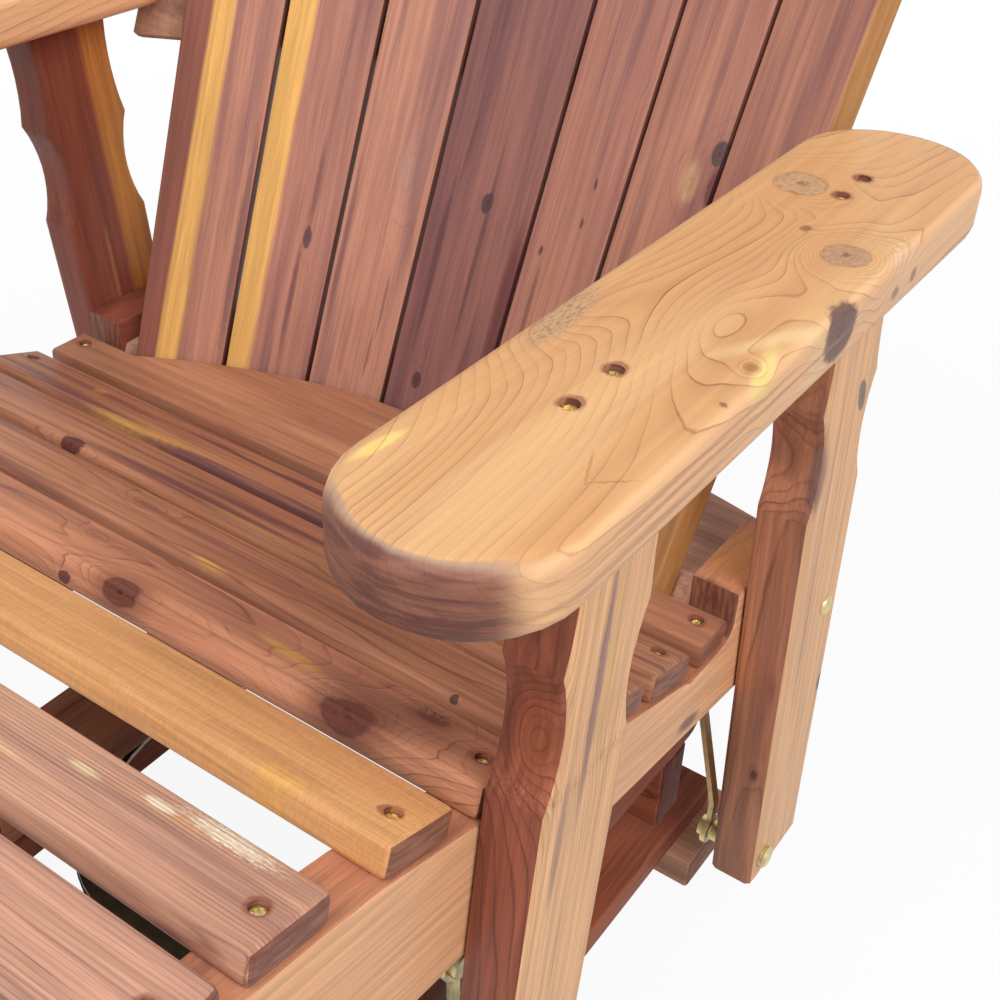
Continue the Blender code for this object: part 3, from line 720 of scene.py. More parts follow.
@dataclass(frozen=True)
class MouldedRubber:
    """Black moulded rubber: dull, with a fine pebble and a grey bloom of dust.

    Sizes are in millimetres. The real pebble is too fine to show, so it is drawn coarser.
    """

    name: str = "black_moulded_rubber"
    black: str = "1d1c1c"
    grey: str = "3a3837"
    pebble: float = 1.2
    dull: float = 0.8
    relief: float = 0.3
    relief_strength: float = 0.3

    def material(self) -> Material:
        """Make the rubber.

        Returns:
            The material, on object coordinates.
        """
        made, tree = fresh(self.name)
        where = put(tree, "TexCoord").outputs["Object"]
        feeds = {"Vector": where, "Scale": 1 / (self.pebble * MM), "Detail": 2.0}
        pebble = put(tree, "TexNoise", feeds).outputs[0]
        feeds = {0: pebble, 6: linear(self.black), 7: linear(self.grey)}
        shade = put(tree, "Mix", feeds, **MIX).outputs[2]
        feeds = {"Height": pebble, "Strength": self.relief_strength, "Distance": self.relief * MM}
        bump = put(tree, "Bump", feeds).outputs[0]
        feeds = {"Base Color": shade, "Roughness": self.dull, "Normal": bump}
        put(tree, "OutputMaterial", {"Surface": put(tree, "BsdfPrincipled", feeds).outputs[0]})
        return made


@dataclass(frozen=True)
class Fasteners:
    """Cross-head screws in sunk holes and domed bolt heads, plated alike: metres and degrees."""

    steel: Material
    head_r: float = 0.0040
    head_h: float = 0.0014
    sunk: float = 0.0020
    cells: int = 6
    dome: float = 0.4
    cross_depth: float = 0.0010
    bolt_r: float = 0.0072
    bolt_h: float = 0.0034
    bolt_sides: int = 24
    sharp: float = 40.0
    twist: Pair = (37.0, 5000.0)

    def screw(self, name: str, grain: Grain, along: float, across: float, depth: float) -> None:
        """Drive a cross-head screw into a sunk hole.

        Args:
            name: the screw's name.
            grain: axes of the board that holds it.
            along: place along the board's grain.
            across: place across its face.
            depth: height of its face above the board's middle.
        """
        bm = bmesh.new()
        bmesh.ops.create_grid(bm, x_segments=self.cells, y_segments=self.cells, size=self.head_r)
        half = self.head_r / self.cells
        # The cross is two cells wide and stops a cell short of the rim, which is drawn round
        cross = []
        for face in bm.faces:
            near, far = sorted(abs(c) for c in face.calc_center_median().xy)
            if near < 1.5 * half and far < (self.cells - 2) * half:
                cross.append(face)
        for vert in bm.verts:
            reach = max(abs(vert.co.x), abs(vert.co.y))
            if reach > (self.cells - 1.5) * half:
                vert.co.xy = vert.co.xy.normalized() * reach
            vert.co.z = -self.head_h * self.dome * (vert.co.xy.length / self.head_r) ** 2
        rim = [e for e in bm.edges if e.is_boundary]
        skirt = bmesh.ops.extrude_edge_only(bm, edges=rim)["geom"]
        low = [v for v in skirt if isinstance(v, bmesh.types.BMVert)]
        bmesh.ops.translate(bm, verts=low, vec=(0.0, 0.0, -self.head_h))
        bmesh.ops.contextual_create(bm, geom=[e for e in bm.edges if e.is_boundary])
        pressed = bmesh.ops.extrude_face_region(bm, geom=cross)["geom"]
        bmesh.ops.delete(bm, geom=cross, context="FACES")
        floor = [v for v in pressed if isinstance(v, bmesh.types.BMVert)]
        bmesh.ops.translate(bm, verts=floor, vec=(0.0, 0.0, -self.cross_depth))
        # Every cross stands at an angle of its own
        by_name, by_place = self.twist
        twist = Matrix.Rotation(math.radians(len(name) * by_name + along * by_place), 4, "Z")
        spot = grain.point(along, across, depth - self.sunk)
        self.fix(name, bm, Matrix.Translation(spot) @ grain.turn.to_4x4() @ twist)

    def bolt(self, name: str, spot: Vector, out: Vector) -> None:
        """Set a domed bolt head on a board's face.

        Args:
            name: the bolt head's name.
            spot: its place on the face.
            out: where the face looks.
        """
        bm = bmesh.new()
        sides = self.bolt_sides
        bmesh.ops.create_uvsphere(bm, u_segments=sides, v_segments=sides // 2, radius=self.bolt_r)
        cut = bmesh.ops.bisect_plane(
            bm, geom=[*bm.verts, *bm.edges, *bm.faces], plane_co=(0.0, 0.0, 0.0), plane_no=(0.0, 0.0, -1.0),
            clear_outer=True,
        )
        rim = [e for e in cut["geom_cut"] if isinstance(e, bmesh.types.BMEdge)]
        bmesh.ops.contextual_create(bm, geom=rim)
        bmesh.ops.scale(bm, vec=(1.0, 1.0, self.bolt_h / self.bolt_r), verts=bm.verts)
        turn = out.to_track_quat("Z", "Y").to_matrix().to_4x4()
        self.fix(name, bm, Matrix.Translation(spot) @ turn)

    def fix(self, name: str, bm: bmesh.types.BMesh, place: Matrix) -> None:
        """Turn a finished fastener into a piece that rides on the chair.

        Args:
            name: the piece's name.
            bm: its mesh at the origin, which is freed.
            place: where it goes.
        """
        bmesh.ops.recalc_face_normals(bm, faces=bm.faces)
        bmesh.ops.transform(bm, matrix=place, verts=bm.verts)
        mesh = bpy.data.meshes.new(name)
        bm.to_mesh(mesh)
        bm.free()
        mesh.shade_smooth()
        mesh.set_sharp_from_angle(angle=math.radians(self.sharp))
        mesh.materials.append(self.steel)
        piece = bpy.data.objects.new(name, mesh)
        bpy.context.scene.collection.objects.link(piece)
        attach(piece, "chair")
        LOG.info("fasteners: %s", name)


def on_face(along: float, across: float, long: float, wide: float, colour: str = "", **more: object) -> Mark:
    """Mark that goes through a board from its good face."""
    return Mark((along, across, 0.0), (long, wide, THROUGH), colour, **more)


def on_edge(along: float, depth: float, long: float, wide: float, colour: str = "", **more: object) -> Mark:
    """Mark that goes through a board from its edge."""
    return Mark((along, 0.0, depth), (long, THROUGH, wide), colour, **more)


def knot(at: Triple, radii: Triple, colour: str, core: str, swell: float, **more: object) -> Mark:
    """Knot with a dark outline, which the rings close round."""
    return Mark(at, radii, colour, Spot.KNOT, strength=0.95, soft=0.14, swell=swell, core=core, **more)


@dataclass
class SubAssembly:
    """One part of the glider: its boards, and what is fixed to them."""

    name: str = "part"
    rim: Pair = (6.4, 6.0)
    rim_red: str = "8a4a38"
    grains: dict[str, Grain] = field(default_factory=dict)

    def boards(self) -> tuple[CedarBoard, ...]:
        """Boards of the part, each with its own wood."""
        return ()

    def rims(self, places: list[Pair]) -> tuple[Mark, ...]:
        """Reddish torn rims round sunk screw holes, at places on a board's face in millimetres."""
        return tuple(on_face(*spot, *self.rim, self.rim_red, strength=0.7, soft=0.2) for spot in places)

    def dress(self, nodes: Nodes) -> None:
        """Give every board of the part its cedar.

        Args:
            nodes: the solids by name.
        """
        for board in self.boards():
            self.grains[board.node] = board.dress(nodes[board.node])
            LOG.info("%s: cedar on %s", self.name, board.node)

    def build(self, kit: Fasteners) -> None:
        """Build what is fixed to the boards: nothing in a part without fasteners."""
        LOG.info("%s: no fasteners of its own", self.name)


@dataclass
class Armrests(SubAssembly):
    """Broad armrests of honey cedar with open contour lines, the right one with big oval knots.

    The tops, the middle and the screws are placed in metres.
    """

    name: str = "armrests"
    top: float = 0.640
    middle: float = -0.0244
    screws: tuple[float, ...] = (-0.1506, -0.1171, 0.1091, 0.1372)

    def boards(self) -> tuple[CedarBoard, ...]:
        """Choose the wood of the two armrests.

        Returns:
            The boards.
        """
        rims = self.rims([((y - self.middle) / MM, 0.0) for y in self.screws])
        right = (
            knot((133.0, 23.0, 0.0), (15.0, 14.0, THROUGH), "cfa880", "946a48", 14.0, turn=20.0),
            knot((69.4, -31.3, 0.0), (12.5, 11.5, THROUGH), "c49c78", "845c46", 15.0),
            knot((20.0, -51.0, 4.0), (18.0, 11.0, 13.5), "71514e", "4a3032", 4.0),
            on_face(84.7, -2.8, 3.4, 2.6, "8a5c40", swell=1.6),
            on_face(-26.0, -41.0, 30.0, 4.0, "f6d8a4", turn=-25.6, strength=0.5, soft=0.7),
            Mark((-50.0, -48.0, 13.0), (20.0, 4.0, 7.0), "fbdc8c", turn=14.0),
            on_face(-54.0, -43.3, 4.2, 3.2, "a8703f", swell=4.0, soft=0.6),
            on_face(-87.0, -47.5, 1.8, 1.5, "86583c", swell=0.6),
            on_face(95.0, -50.0, 15.0, 6.0, "f0cfae", kind=Spot.TORN),
            on_edge(-120.0, 7.0, 90.0, 1.6, "c08468", strength=0.55),
            on_edge(-70.0, 1.0, 120.0, 1.3, "b47862", strength=0.5),
            on_edge(-150.0, -6.0, 80.0, 2.0, "bc826a", strength=0.5),
            on_edge(110.6, -2.4, 4.0, 4.0, "94706c", swell=0.8),
            on_edge(88.0, -3.8, 4.0, 3.4, "94706c", swell=0.8),
            on_face(-196.0, 40.3, 14.0, 3.2, "fcda80", turn=-7.0),
            on_face(-66.0, 42.0, 30.0, 8.0, "b39a80", strength=0.45, soft=0.5, turn=4.0),
            on_face(-66.0, 42.0, 30.0, 8.0, "94785e", kind=Spot.TORN, turn=4.0),
            on_face(-58.0, 36.0, 32.0, 10.0, swell=6.0, turn=-6.0),
            on_face(-30.0, -16.0, 44.0, 15.0, swell=7.0, turn=4.0),
            on_face(-60.0, -66.0, 430.0, 92.0, swell=11.0, steep=4.0),
            on_face(-208.0, 46.0, 96.0, 34.0, swell=-10.0, steep=2.0),
            on_face(-160.0, -29.5, 10.0, 0.7, "a06a40", turn=24.6, strength=0.45),
            on_face(-162.0, -40.3, 9.6, 0.7, "a06a40", turn=-43.5, strength=0.45),
        )
        left = (
            knot((60.0, 18.0, 0.0), (11.0, 10.0, THROUGH), "c49c78", "845c46", 12.0),
            on_face(30.0, -20.0, 60.0, 26.0, swell=9.0),
            on_face(-120.0, -28.0, 5.0, 4.0, "8a5c45", swell=2.0),
        )
        # Painted light: both side faces of each armrest are painted paler than its top
        side = Face(Along.ACROSS, 0, "fcc696", 0.85)
        common = {"pitch": 5.6, "lean": 0.012, "wander": 16.0, "lines": 1.0, "thin": 0.9}
        common |= {"quiet": 0.8, "streaks": 0.2, "fuzz": 0.35, "combed": 0.05}
        common |= {"end": ("b4947c", "8a584a", "582d30"), "end_from": (0.17, 0.32), "faces": (side,)}
        up = Facing.UP
        return (
            CedarBoard("armrest_right", up, Tone.HONEY, 1.0, pith=(6.0, -62.0), marks=right + rims, **common),
            CedarBoard("armrest_left", up, Tone.HONEY, 2.0, pith=(-8.0, -58.0), marks=left + rims, **common),
        )

    def build(self, kit: Fasteners) -> None:
        """Drive the screws into the posts.

        Args:
            kit: the fasteners.
        """
        for side in ("left", "right"):
            grain = self.grains["armrest_" + side]
            for i, y in enumerate(self.screws):
                along = y + SHIFT_Y - grain.centre.y
                kit.screw(f"screw_armrest_{side}_{i + 1}", grain, along, 0.0, self.top - grain.centre.z)


@dataclass
class ArmPosts(SubAssembly):
    """Raked posts: dark red heartwood on the edges, pale rose on the outer faces, with painted light on the
    right ones.

    The bolt head is placed in metres, in the axes of its post.
    """

    name: str = "arm posts"
    bolt_at: Triple = (-0.0012, -0.0172, 0.01765)

    def boards(self) -> tuple[CedarBoard, ...]:
        """Choose the wood of the four posts.

        Returns:
            The boards.
        """
        # Pale outer faces: paler wood, and on the right posts, which face the lamp, painted light that makes
        # them paler still
        pale = Face(Along.DEPTH, 1, "fcc28e")
        pale_left = Face(Along.DEPTH, 1, "d6a384")
        front = (
            on_edge(137.0, 3.0, 21.0, 11.5, "9a5638", strength=0.5, swell=6.0, soft=0.5),
            on_edge(107.0, 2.0, 6.0, 20.0, "ac6c52", kind=Spot.TORN, strength=0.7),
            on_face(160.0, 6.0, 75.0, 3.2, "8d6468"),
            on_face(72.0, 21.0, 40.0, 3.0, "9a7270", strength=0.6),
            on_face(165.0, -2.7, 60.0, 2.6, "f0c07c"),
            knot((190.0, -38.0, 0.0), (7.0, 5.0, THROUGH), "74606a", "4c3a42", 2.0),
            knot((140.0, -35.0, 0.0), (13.0, 5.0, THROUGH), "74606a", "4c3a42", 3.0),
        )
        rear = (
            knot((172.9, -16.2, 0.0), (13.0, 5.0, THROUGH), "8a766a", "52413c", 3.0, turn=18.0),
            knot((-90.0, -33.0, 0.0), (9.0, 4.0, THROUGH), "7a646a", "4c3a40", 2.0),
            on_edge(-129.0, 7.0, 6.0, 3.0, "3c2224", swell=2.0),
            Mark((140.0, 30.0, 15.0), (26.0, 8.0, 5.0), "8a6a66"),
            on_face(40.0, 14.0, 150.0, 2.4, "b98a76", strength=0.5),
        )
        left = (on_face(58.0, -7.5, 40.0, 2.0, "b87a50", strength=0.6),)
        sap = Band(Along.ACROSS, 5.0, 13.0, "c98240")
        right_way, left_way = Facing.RIGHT, Facing.LEFT
        return (
            CedarBoard(
                "arm_post_front_right", right_way, Tone.EMBER, 3.0, 3.0, (120.0, -30.0), 0.01, 10.0,
                lines=0.85, thin=0.74, quiet=0.6, streaks=0.55, combed=0.18, marks=front, faces=(pale,),
            ),
            CedarBoard(
                "arm_post_rear_right", right_way, Tone.RED, 4.0, 2.6, (160.0, 20.0), 0.006, 6.0,
                lines=0.85, thin=0.7, quiet=0.5, streaks=0.45, combed=0.16, marks=rear, faces=(pale,),
            ),
            CedarBoard(
                "arm_post_front_left", left_way, Tone.DEEP, 5.0, 3.4, (-110.0, 30.0), 0.01, 10.0,
                faces=(pale_left,),
            ),
            CedarBoard(
                "arm_post_rear_left", left_way, Tone.DEEP, 6.0, 3.2, (90.0, -40.0), 0.01, 10.0,
                marks=left, bands=(sap,), faces=(pale_left,),
            ),
        )

    def build(self, kit: Fasteners) -> None:
        """Set a bolt head on each rear post.

        Args:
            kit: the fasteners.
        """
        for side in ("left", "right"):
            post = self.grains["arm_post_rear_" + side]
            kit.bolt("bolt_head_rear_post_" + side, post.point(*self.bolt_at), post.turn.col[2])


@dataclass
class Seat(SubAssembly):
    """Slats, rails and apron of the seat: every slat from another board.

    Screws are placed in metres, and the rims of the rear slat's holes in millimetres.
    """

    name: str = "seat"
    rail_x: float = 0.2825
    half_thick: float = 0.00975
    screws: tuple[float, ...] = (0.002, -0.003, -0.0033, -0.0017, 0.003, -0.002, 0.0074)
    rear_screw: tuple[float, float] = (0.0839, 0.352)
    rear_rim: float = -16.9

    def marks(self) -> dict[int, tuple[Mark, ...]]:
        """Place the knots, flecks and stains of the slats.

        Returns:
            Marks by the number of the slat, from the front.
        """
        return {
            2: (
                on_face(170.0, 7.0, 9.0, 2.2, "f6e0ac"),
                on_face(240.0, 17.0, 44.0, 5.5, "e2ab7c", strength=0.5, turn=8.0),
                on_face(210.0, 13.0, 8.0, 2.6, "fdf0d2", soft=0.3),
                on_face(246.0, 18.5, 20.0, 3.6, "fdf0d2", strength=0.6),
                on_face(246.0, 18.0, 30.0, 5.5, "fff4dc", kind=Spot.TORN),
                on_face(131.0, -7.0, 14.0, 1.6, "ecca96", strength=0.6),
            ),
            3: (
                on_face(230.0, -21.0, 13.0, 6.0, "efb462", strength=0.65),
                on_face(215.0, -13.0, 40.0, 3.5, "b87a54", strength=0.4),
                on_face(120.0, 14.0, 60.0, 2.5, "c98f5e", strength=0.4),
            ),
            4: (
                knot((51.0, -24.0, 6.0), (13.0, 9.0, 9.0), "7c4638", "3f1f1c", 9.0, turn=10.0, halo=0.6),
                on_face(-6.0, 9.0, 8.0, 4.0, "a87058", swell=3.0, strength=0.5),
                knot((213.0, -23.0, 7.5), (16.0, 10.0, 11.0), "744034", "3a1b19", 10.0, turn=10.0, halo=0.7),
                knot((243.0, 9.0, 0.0), (9.0, 5.5, THROUGH), "744034", "3a1b19", 8.0, halo=0.6),
                on_face(157.0, -2.0, 24.0, 4.5, "e3a85e", turn=-6.0),
                on_face(190.0, -14.0, 16.0, 7.0, "d0a07e", kind=Spot.TORN),
                on_face(236.0, 14.0, 18.0, 6.0, "d0a07e", kind=Spot.TORN),
                # Dark patch round the right-hand knots: partly their figure, partly painted shadow of the
                # armrest above
                on_face(232.0, -4.0, 50.0, 24.0, "62372d", strength=0.62, swell=6.0, soft=0.8),
                on_face(95.0, -14.0, 16.0, 7.0, swell=3.0),
                knot((10.0, -25.0, -3.0), (5.0, 6.0, 4.0), "744034", "3a1b19", 3.0),
            ),
            5: (
                on_face(57.0, -21.5, 13.0, 2.6, "e4ad60"),
                on_face(-24.0, 7.0, 12.0, 4.5, "905a4a", swell=4.0, strength=0.6, soft=0.6),
                knot((238.0, -24.0, 7.0), (2.6, 2.6, 3.0), "5c4642", "3c2826", 1.5),
            ),
            6: (
                knot((-130.0, -24.0, 8.0), (10.0, 7.0, 9.0), "6a3a38", "41201f", 4.0),
                on_face(70.0, -18.6, 100.0, 2.4, "c4945e", strength=0.5),
            ),
            7: (
                on_face(-203.0, 3.6, 6.0, 4.0, "cf9558", swell=3.0),
                on_face(-122.0, -21.5, 56.0, 3.4, "dca458", turn=2.0),
                on_face(-40.0, 9.0, 26.0, 2.6, "c48c52", strength=0.6),
            ),
        }

    def boards(self) -> tuple[CedarBoard, ...]:
        """Choose the wood of seven straight slats, the curved rear slat, two rails and the apron.

        Returns:
            The boards.
        """
        # Tone, pitch of the rings, pith, wander, streaks and planer ticks, from the front
        looks = (
            (Tone.ROSE, 2.6, (150.0, 8.0), 3.0, 0.45, 0.0),
            (Tone.ROSE, 2.2, (170.0, -8.0), 3.0, 0.45, 0.0),
            (Tone.SAP, 4.0, (90.0, -30.0), 6.0, 0.12, 0.06),
            (Tone.RED, 4.2, (3.0, -36.0), 26.0, 0.3, 0.0),
            (Tone.CHERRY, 4.6, (-6.0, -40.0), 22.0, 0.6, 0.0),
            (Tone.CHERRY, 3.2, (60.0, -40.0), 8.0, 0.85, 0.0),
            (Tone.CHERRY, 3.6, (40.0, -30.0), 10.0, 0.9, 0.0),
        )
        marks = self.marks()
        boards = []
        for i, (tone, pitch, pith, wander, streaks, ticks) in enumerate(looks):
            rims = self.rims([(s * self.rail_x / MM, self.screws[i] / MM) for s in (-1, 1)])
            boards.append(
                CedarBoard(
                    f"seat_slat_{i + 1}", Facing.UP, tone, 7.0 + i, pitch, pith, 0.012, wander,
                    lines=0.5 if ticks else 0.85, thin=0.62 if tone is Tone.ROSE else 0.82,
                    streaks=streaks, ticks=ticks, combed=0.08 if ticks else 0.18,
                    marks=marks.get(i + 1, ()) + rims,
                )
            )
        rims = self.rims([(s * self.rail_x / MM, self.rear_rim) for s in (-1, 1)])
        boards.append(
            CedarBoard(
                "seat_slat_rear", Facing.UP, Tone.CHERRY, 15.0, 5.2, (10.0, -50.0), 0.015, 16.0,
                lines=0.45, streaks=0.2, marks=rims,
            )
        )
        pale = Face(Along.DEPTH, 1, "f8bc8e", 0.94)
        right = (
            on_face(178.0, -26.6, 13.0, 5.0, "6b5052", swell=3.0),
            on_face(163.0, -17.0, 5.0, 1.6, "ecc9a0"),
            Mark((245.0, 62.0, 0.0), (45.0, 9.0, 60.0), "cc8744"),
            Mark((212.0, 43.0, -3.0), (6.0, 15.0, 17.0), "6d3b33"),
        )
        ways = (("right", Facing.RIGHT, Tone.RED, right), ("left", Facing.LEFT, Tone.DEEP, ()))
        for side, facing, tone, marks_here in ways:
            boards.append(
                CedarBoard(
                    "seat_rail_" + side, facing, tone, 16.0 + len(side), 4.0, (60.0, -60.0), 0.01, 12.0,
                    marks=marks_here, faces=(pale,),
                )
            )
        boards.append(CedarBoard("seat_front_apron", Facing.FRONT, Tone.RED, 18.0))
        return tuple(boards)

    def build(self, kit: Fasteners) -> None:
        """Drive the screws of every slat into the rails.

        Args:
            kit: the fasteners.
        """
        level = Grain(Vector((0.0, SHIFT_Y, 0.0)), Matrix.Identity(3))
        for side, sign in (("left", -1), ("right", 1)):
            for i, across in enumerate(self.screws):
                grain = self.grains[f"seat_slat_{i + 1}"]
                name = f"screw_seat_slat_{i + 1}_{side}"
                kit.screw(name, grain, sign * self.rail_x, across, self.half_thick)
            kit.screw(f"screw_seat_slat_rear_{side}", level, sign * self.rail_x, *self.rear_screw)


@dataclass
class Back(SubAssembly):
    """Fanned back slats, salmon with plum streaks, two with sapwood strips; their edges carry painted shade
    and light.
    """

    name: str = "back"
    yellow: str = "ecb566"
    # Painted shade: the slats' edge faces are darkened where the gaps between them are shaded
    painted_gap_shade: str = "5a2e2a"
    # Gold wood at the lower end of slat 7, and painted light on its lit edge faces
    gold_wood_and_painted_light: str = "bd8750"
    tones: tuple[Tone, ...] = (
        Tone.SALMON, Tone.SALMON, Tone.SALMON, Tone.PLUM, Tone.SALMON, Tone.SALMON, Tone.SALMON,
    )

    def marks(self) -> dict[int, tuple[Mark, ...]]:
        """Place the knots and streaks of the back slats.

        Returns:
            Marks by the number of the slat, from the left as one looks at the chair's front.
        """
        return {
            1: (on_face(-200.0, -34.0, 90.0, 3.0, "6f484c", strength=0.7),),
            2: (
                knot((-219.0, -14.0, 0.0), (9.0, 3.4, THROUGH), "6a4c4c", "41302f", 3.0),
                on_face(-271.0, -10.0, 40.0, 2.2, "6f4548", strength=0.7),
                on_face(-180.0, -14.0, 30.0, 2.2, "6f4548", strength=0.6),
            ),
            3: (
                on_face(-278.0, -17.0, 22.0, 1.4, "5e3c40", strength=0.5),
                on_face(-318.0, -14.0, 18.0, 1.3, "5e3c40", strength=0.5),
                on_face(-238.0, 27.0, 60.0, 2.4, "744e50", strength=0.6),
                on_face(-175.0, -12.0, 22.0, 9.0, "a58378", swell=4.0, strength=0.4),
            ),
            4: (
                knot((-189.5, -4.5, 0.0), (8.0, 5.0, THROUGH), "5a4040", "34211f", 4.0),
                knot((-334.0, 16.4, 0.0), (7.0, 4.0, THROUGH), "5a4040", "34211f", 3.0),
                on_face(-241.0, 27.0, 60.0, 3.0, "55353a", strength=0.7),
                on_face(-216.0, -7.0, 70.0, 2.2, "55353a", strength=0.6),
                on_face(-259.0, -39.0, 60.0, 6.0, "5e2a2c", strength=0.7),
            ),
            5: (
                on_face(-200.0, 20.0, 3.6, 1.6, "4a3030", swell=1.5),
                on_face(-243.0, 17.0, 30.0, 2.0, "6f4548", strength=0.6),
                on_face(-172.0, -8.0, 4.0, 1.3, "4a3030", swell=1.0),
                on_face(-143.0, -10.0, 3.6, 1.2, "4a3030", swell=1.0),
            ),
            6: (
                knot((-73.0, -33.0, 0.0), (8.0, 6.0, THROUGH), "5f4a4e", "3a2c2f", 3.0),
                on_face(-95.0, -36.0, 14.0, 5.0, "572c2f"),
                on_face(-96.0, -16.0, 14.0, 8.0, "dcb084", swell=3.0, strength=0.6),
            ),
        }

    def boards(self) -> tuple[CedarBoard, ...]:
        """Choose the wood of seven slats and the three rails behind them.

        Returns:
            The boards.
        """
        sap = {
            # Slat 1: a yellow sapwood strip, and at its outer edge dark heartwood darkened further by painted
            # shade
            1: (Band(Along.ACROSS, -3.0, 2.5, self.yellow), Band(Along.ACROSS, 15.0, 19.0, "8a5048")),
            2: (Band(Along.ACROSS, 11.0, 17.0, self.yellow),),
            7: (Band(Along.GRAIN, -150.0, -230.0, self.gold_wood_and_painted_light, 0.75),),
        }
        marks = self.marks()
        # Painted shade on the edge faces of slats 1 to 6, standing in for the shaded gaps between the slats
        dark = Face(Along.ACROSS, 0, self.painted_gap_shade, 0.7)
        # Painted light: slat 7's edge faces are painted light gold where the lamps fall on them
        gold = Face(Along.ACROSS, 0, self.gold_wood_and_painted_light, 0.9)
        boards = [
            CedarBoard(
                f"back_slat_{i + 1}", Facing.FRONT, tone, 20.0 + i, 5.0, (12.0 - 5 * i, -48.0), 0.012, 15.0,
                lines=0.4, streaks=0.5, marks=marks.get(i + 1, ()), bands=sap.get(i + 1, ()),
                faces=(gold if i == 6 else dark,),
            )
            for i, tone in enumerate(self.tones)
        ]
        for i, place in enumerate(("lower", "arm_level", "upper")):
            boards.append(CedarBoard("back_rail_" + place, Facing.UP, Tone.ROSE, 28.0 + i))
        return tuple(boards)


@dataclass
class GlideFrame(SubAssembly):
    """Frame that the chair hangs from: boards of plain red cedar on plated links and bolts."""

    name: str = "glide frame"
    end: tuple[str, str, str] = ("7a4636", "66382c", "4c2620")
    gloss: float = 0.2
    plated: tuple[str, ...] = ("glide_link_", "upper_pivot_", "lower_pivot_")

    def boards(self) -> tuple[CedarBoard, ...]:
        """Choose the wood of the side boards, cross boards and sleepers.

        Returns:
            The boards.
        """
        wood = {"end": self.end, "gloss": self.gloss}
        boards = []
        for i, (side, facing) in enumerate((("left", Facing.LEFT), ("right", Facing.RIGHT))):
            boards.append(CedarBoard("glide_side_board_" + side, facing, Tone.DEEP, 32.0 + i, **wood))
            boards.append(CedarBoard("glide_sleeper_" + side, Facing.UP, Tone.CHERRY, 34.0 + i, **wood))
        for i, end in enumerate(("front", "rear")):
            boards.append(CedarBoard("glide_cross_board_" + end, Facing.FRONT, Tone.EMBER, 38.0 + i, **wood))
        return tuple(boards)

    def plate(self, nodes: Nodes, steel: Material) -> None:
        """Plate the links and their bolts.

        Args:
            nodes: the solids by name.
            steel: the plated steel.
        """
        for name, node in nodes.items():
            if name.startswith(self.plated):
                cover(node, steel)


@dataclass
class BaseStand(SubAssembly):
    """Runners and foot boards on rubber pads, with the swivel of dulled plated steel on top."""

    name: str = "base stand"
    pitch: float = 5.5
    gloss: float = 0.2
    plated: str = "swivel_"
    dulled: tuple[str, str, str] = ("6f6754", "5f5c4c", "685a46")
    padded: str = "floor_pad_"

    def boards(self) -> tuple[CedarBoard, ...]:
        """Choose the wood of the runners and foot boards.

        Returns:
            The boards.
        """
        wood = {"pitch": self.pitch, "gloss": self.gloss}
        boards = []
        for i, side in enumerate(("left", "right")):
            boards.append(CedarBoard("base_runner_" + side, Facing.UP, Tone.EMBER, 36.0 + i, **wood))
        for i, end in enumerate(("front", "rear")):
            boards.append(CedarBoard("base_foot_board_" + end, Facing.UP, Tone.ROSE, 40.0 + i, **wood))
        return tuple(boards)

    def plate(self, nodes: Nodes, rubber: Material) -> None:
        """Give the swivel a plating dulled by weather, and the pads their rubber.

        Args:
            nodes: the solids by name.
            rubber: the pads' rubber.
        """
        dull = ZincSteel("weathered_zinc_plated_steel", *self.dulled).material()
        for name, node in nodes.items():
            if name.startswith(self.plated):
                cover(node, dull)
            elif name.startswith(self.padded):
                cover(node, rubber)


def cover(node: Solid, finish: Material) -> None:
    """Give a solid one finish and an eased skin.

    Args:
        node: the solid.
        finish: its material.
    """
    node.data.materials.clear()
    node.data.materials.append(finish)
    EasedSkin().wrap(node)
    LOG.info("%s on %s", finish.name, node.name)


@dataclass(frozen=True)
class PhotoCamera:
    """A camera at the viewing angle of the photograph: metres, degrees, and a lens in millimetres."""

    place: Triple = (0.5536, -0.596281, 0.9316)
    heading: float = 33.5
    dip: float = 35.75
    roll: float = -2.64
    lens: float = 50.77
    sensor: float = 36.0
    near: float = 0.01

    def build(self) -> None:
        """Make the camera and set it as the scene's."""
        heading, dip, roll = (math.radians(a) for a in (self.heading, self.dip, self.roll))
        flat = math.cos(dip)
        ahead = Vector((-math.sin(heading) * flat, math.cos(heading) * flat, -math.sin(dip)))
        level = Vector((math.cos(heading), math.sin(heading), 0.0))
        fall = ahead.cross(level)
        right = level * math.cos(roll) + fall * math.sin(roll)
        down = fall * math.cos(roll) - level * math.sin(roll)
        data = bpy.data.cameras.new("photo_camera")
        data.sensor_width = self.sensor
        data.lens = self.lens
        data.clip_start = self.near
        camera = bpy.data.objects.new("photo_camera", data)
        bpy.context.scene.collection.objects.link(camera)
        axes = Matrix((right, -down, -ahead)).transposed().to_4x4()
        camera.matrix_world = Matrix.Translation(self.place) @ axes
        bpy.context.scene.camera = camera


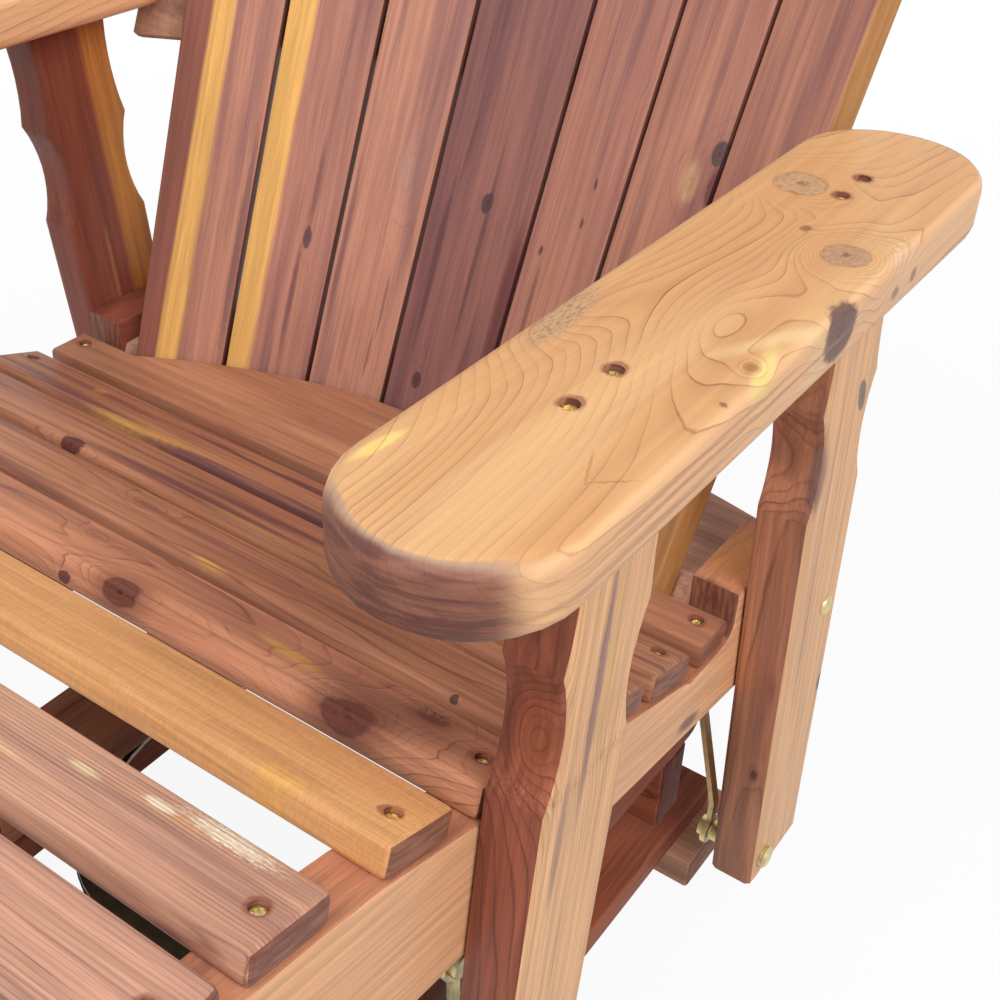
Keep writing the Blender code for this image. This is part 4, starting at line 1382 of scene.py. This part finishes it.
@dataclass(frozen=True)
class Studio:
    """A white floor, a pale world and soft lamps. Sizes are in metres, powers in watts."""

    floor_r: float = 14.0
    floor_sides: int = 96
    floor_drop: float = 0.0004
    floor_keep: float = 0.92
    shadow_r: float = 0.7
    shadow_fade: float = 3.0
    white: str = "f4f4f4"
    bounce: str = "8a8a8a"
    ambient: float = 0.46
    key: float = 62.0
    key_at: Triple = (2.4, -1.2, 2.6)
    key_size: float = 1.8
    fill: float = 51.0
    fill_at: Triple = (-0.4, -2.0, 3.0)
    fill_size: float = 2.4
    aim: Triple = (0.0, 0.0, 0.45)

    def build(self) -> None:
        """Make the floor, the world and the lamps, and set the view transform."""
        bpy.context.scene.view_settings.view_transform = "Standard"
        bm = bmesh.new()
        bmesh.ops.create_circle(bm, cap_ends=True, segments=self.floor_sides, radius=self.floor_r)
        mesh = bpy.data.meshes.new("floor")
        bm.to_mesh(mesh)
        bm.free()
        floor = bpy.data.objects.new("floor", mesh)
        floor.location.z = -self.floor_drop
        bpy.context.scene.collection.objects.link(floor)
        mesh.materials.append(self.paper())
        self.world()
        self.lamp("key", self.key_at, self.key_size, self.key)
        self.lamp("fill", self.fill_at, self.fill_size, self.fill)

    def seen(self, tree: Tree) -> Socket:
        """Tell rays of the camera, by way of gloss or glass too, from the light's own.

        Args:
            tree: the node tree of a material or a world.

        Returns:
            One for rays of the camera, zero for others.
        """
        path = put(tree, "LightPath").outputs
        feeds = {0: path["Is Camera Ray"], 1: path["Is Glossy Ray"]}
        either = put(tree, "Math", feeds, operation="MAXIMUM").outputs[0]
        feeds = {0: either, 1: path["Is Transmission Ray"]}
        return put(tree, "Math", feeds, operation="MAXIMUM").outputs[0]

    def paper(self) -> Material:
        """Make studio paper: white to the eye with a faint soft shadow, and grey in what it throws back.

        Returns:
            The material, on object coordinates.
        """
        made, tree = fresh("matt_white_studio_paper")
        seen = self.seen(tree)
        feeds = {0: seen, 6: linear(self.bounce), 7: linear(self.white)}
        tint = put(tree, "Mix", feeds, **MIX).outputs[2]
        matt = put(tree, "BsdfDiffuse", {"Color": tint}).outputs[0]
        glow = put(tree, "Emission", {"Color": (1.0, 1.0, 1.0, 1.0), "Strength": 1.0}).outputs[0]
        where = put(tree, "TexCoord").outputs["Object"]
        away = put(tree, "VectorMath", {0: where}, operation="LENGTH").outputs["Value"]
        ends = (self.shadow_r, self.shadow_fade * self.shadow_r)
        feeds = {0: away, **span(ends), 3: self.floor_keep, 4: 1.0}
        keep = put(tree, "MapRange", feeds).outputs[0]
        share = put(tree, "Math", {0: seen, 1: keep}, operation="MULTIPLY").outputs[0]
        paper = put(tree, "MixShader", {0: share, 1: matt, 2: glow})
        put(tree, "OutputMaterial", {"Surface": paper.outputs[0]})
        return made

    def world(self) -> None:
        """A pale world that looks white to the camera."""
        world = bpy.data.worlds.new("studio")
        bpy.context.scene.world = world
        world.use_nodes = True
        tree = world.node_tree
        tree.nodes.clear()
        level = put(tree, "MapRange", {0: self.seen(tree), 3: self.ambient, 4: 1.0}).outputs[0]
        sky = put(tree, "Background", {"Color": (1.0, 1.0, 1.0, 1.0), "Strength": level})
        put(tree, "OutputWorld", {"Surface": sky.outputs[0]})

    def lamp(self, name: str, place: Triple, size: float, power: float) -> None:
        """Hang a soft square lamp that looks at the seat.

        Args:
            name: the lamp's name.
            place: where it hangs, in metres.
            size: the length of its side, in metres.
            power: its power, in watts.
        """
        data = bpy.data.lights.new(name, "AREA")
        data.size = size
        data.energy = power
        lamp = bpy.data.objects.new(name, data)
        bpy.context.scene.collection.objects.link(lamp)
        lamp.location = place
        aim = Vector(self.aim) - Vector(place)
        lamp.rotation_mode = "QUATERNION"
        lamp.rotation_quaternion = aim.to_track_quat("-Z", "Y")


def main() -> None:
    """Dress the glider, fix its hardware and set up the studio."""
    logging.basicConfig(level=logging.INFO, format="%(name)s %(message)s")
    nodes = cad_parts
    steel = ZincSteel().material()
    glide, stand = GlideFrame(), BaseStand()
    kit = Fasteners(steel)
    for part in (Armrests(), ArmPosts(), Seat(), Back(), glide, stand):
        part.dress(nodes)
        part.build(kit)
    glide.plate(nodes, steel)
    stand.plate(nodes, MouldedRubber().material())
    PhotoCamera().build()
    Studio().build()


if __name__ == "__main__":
    main()
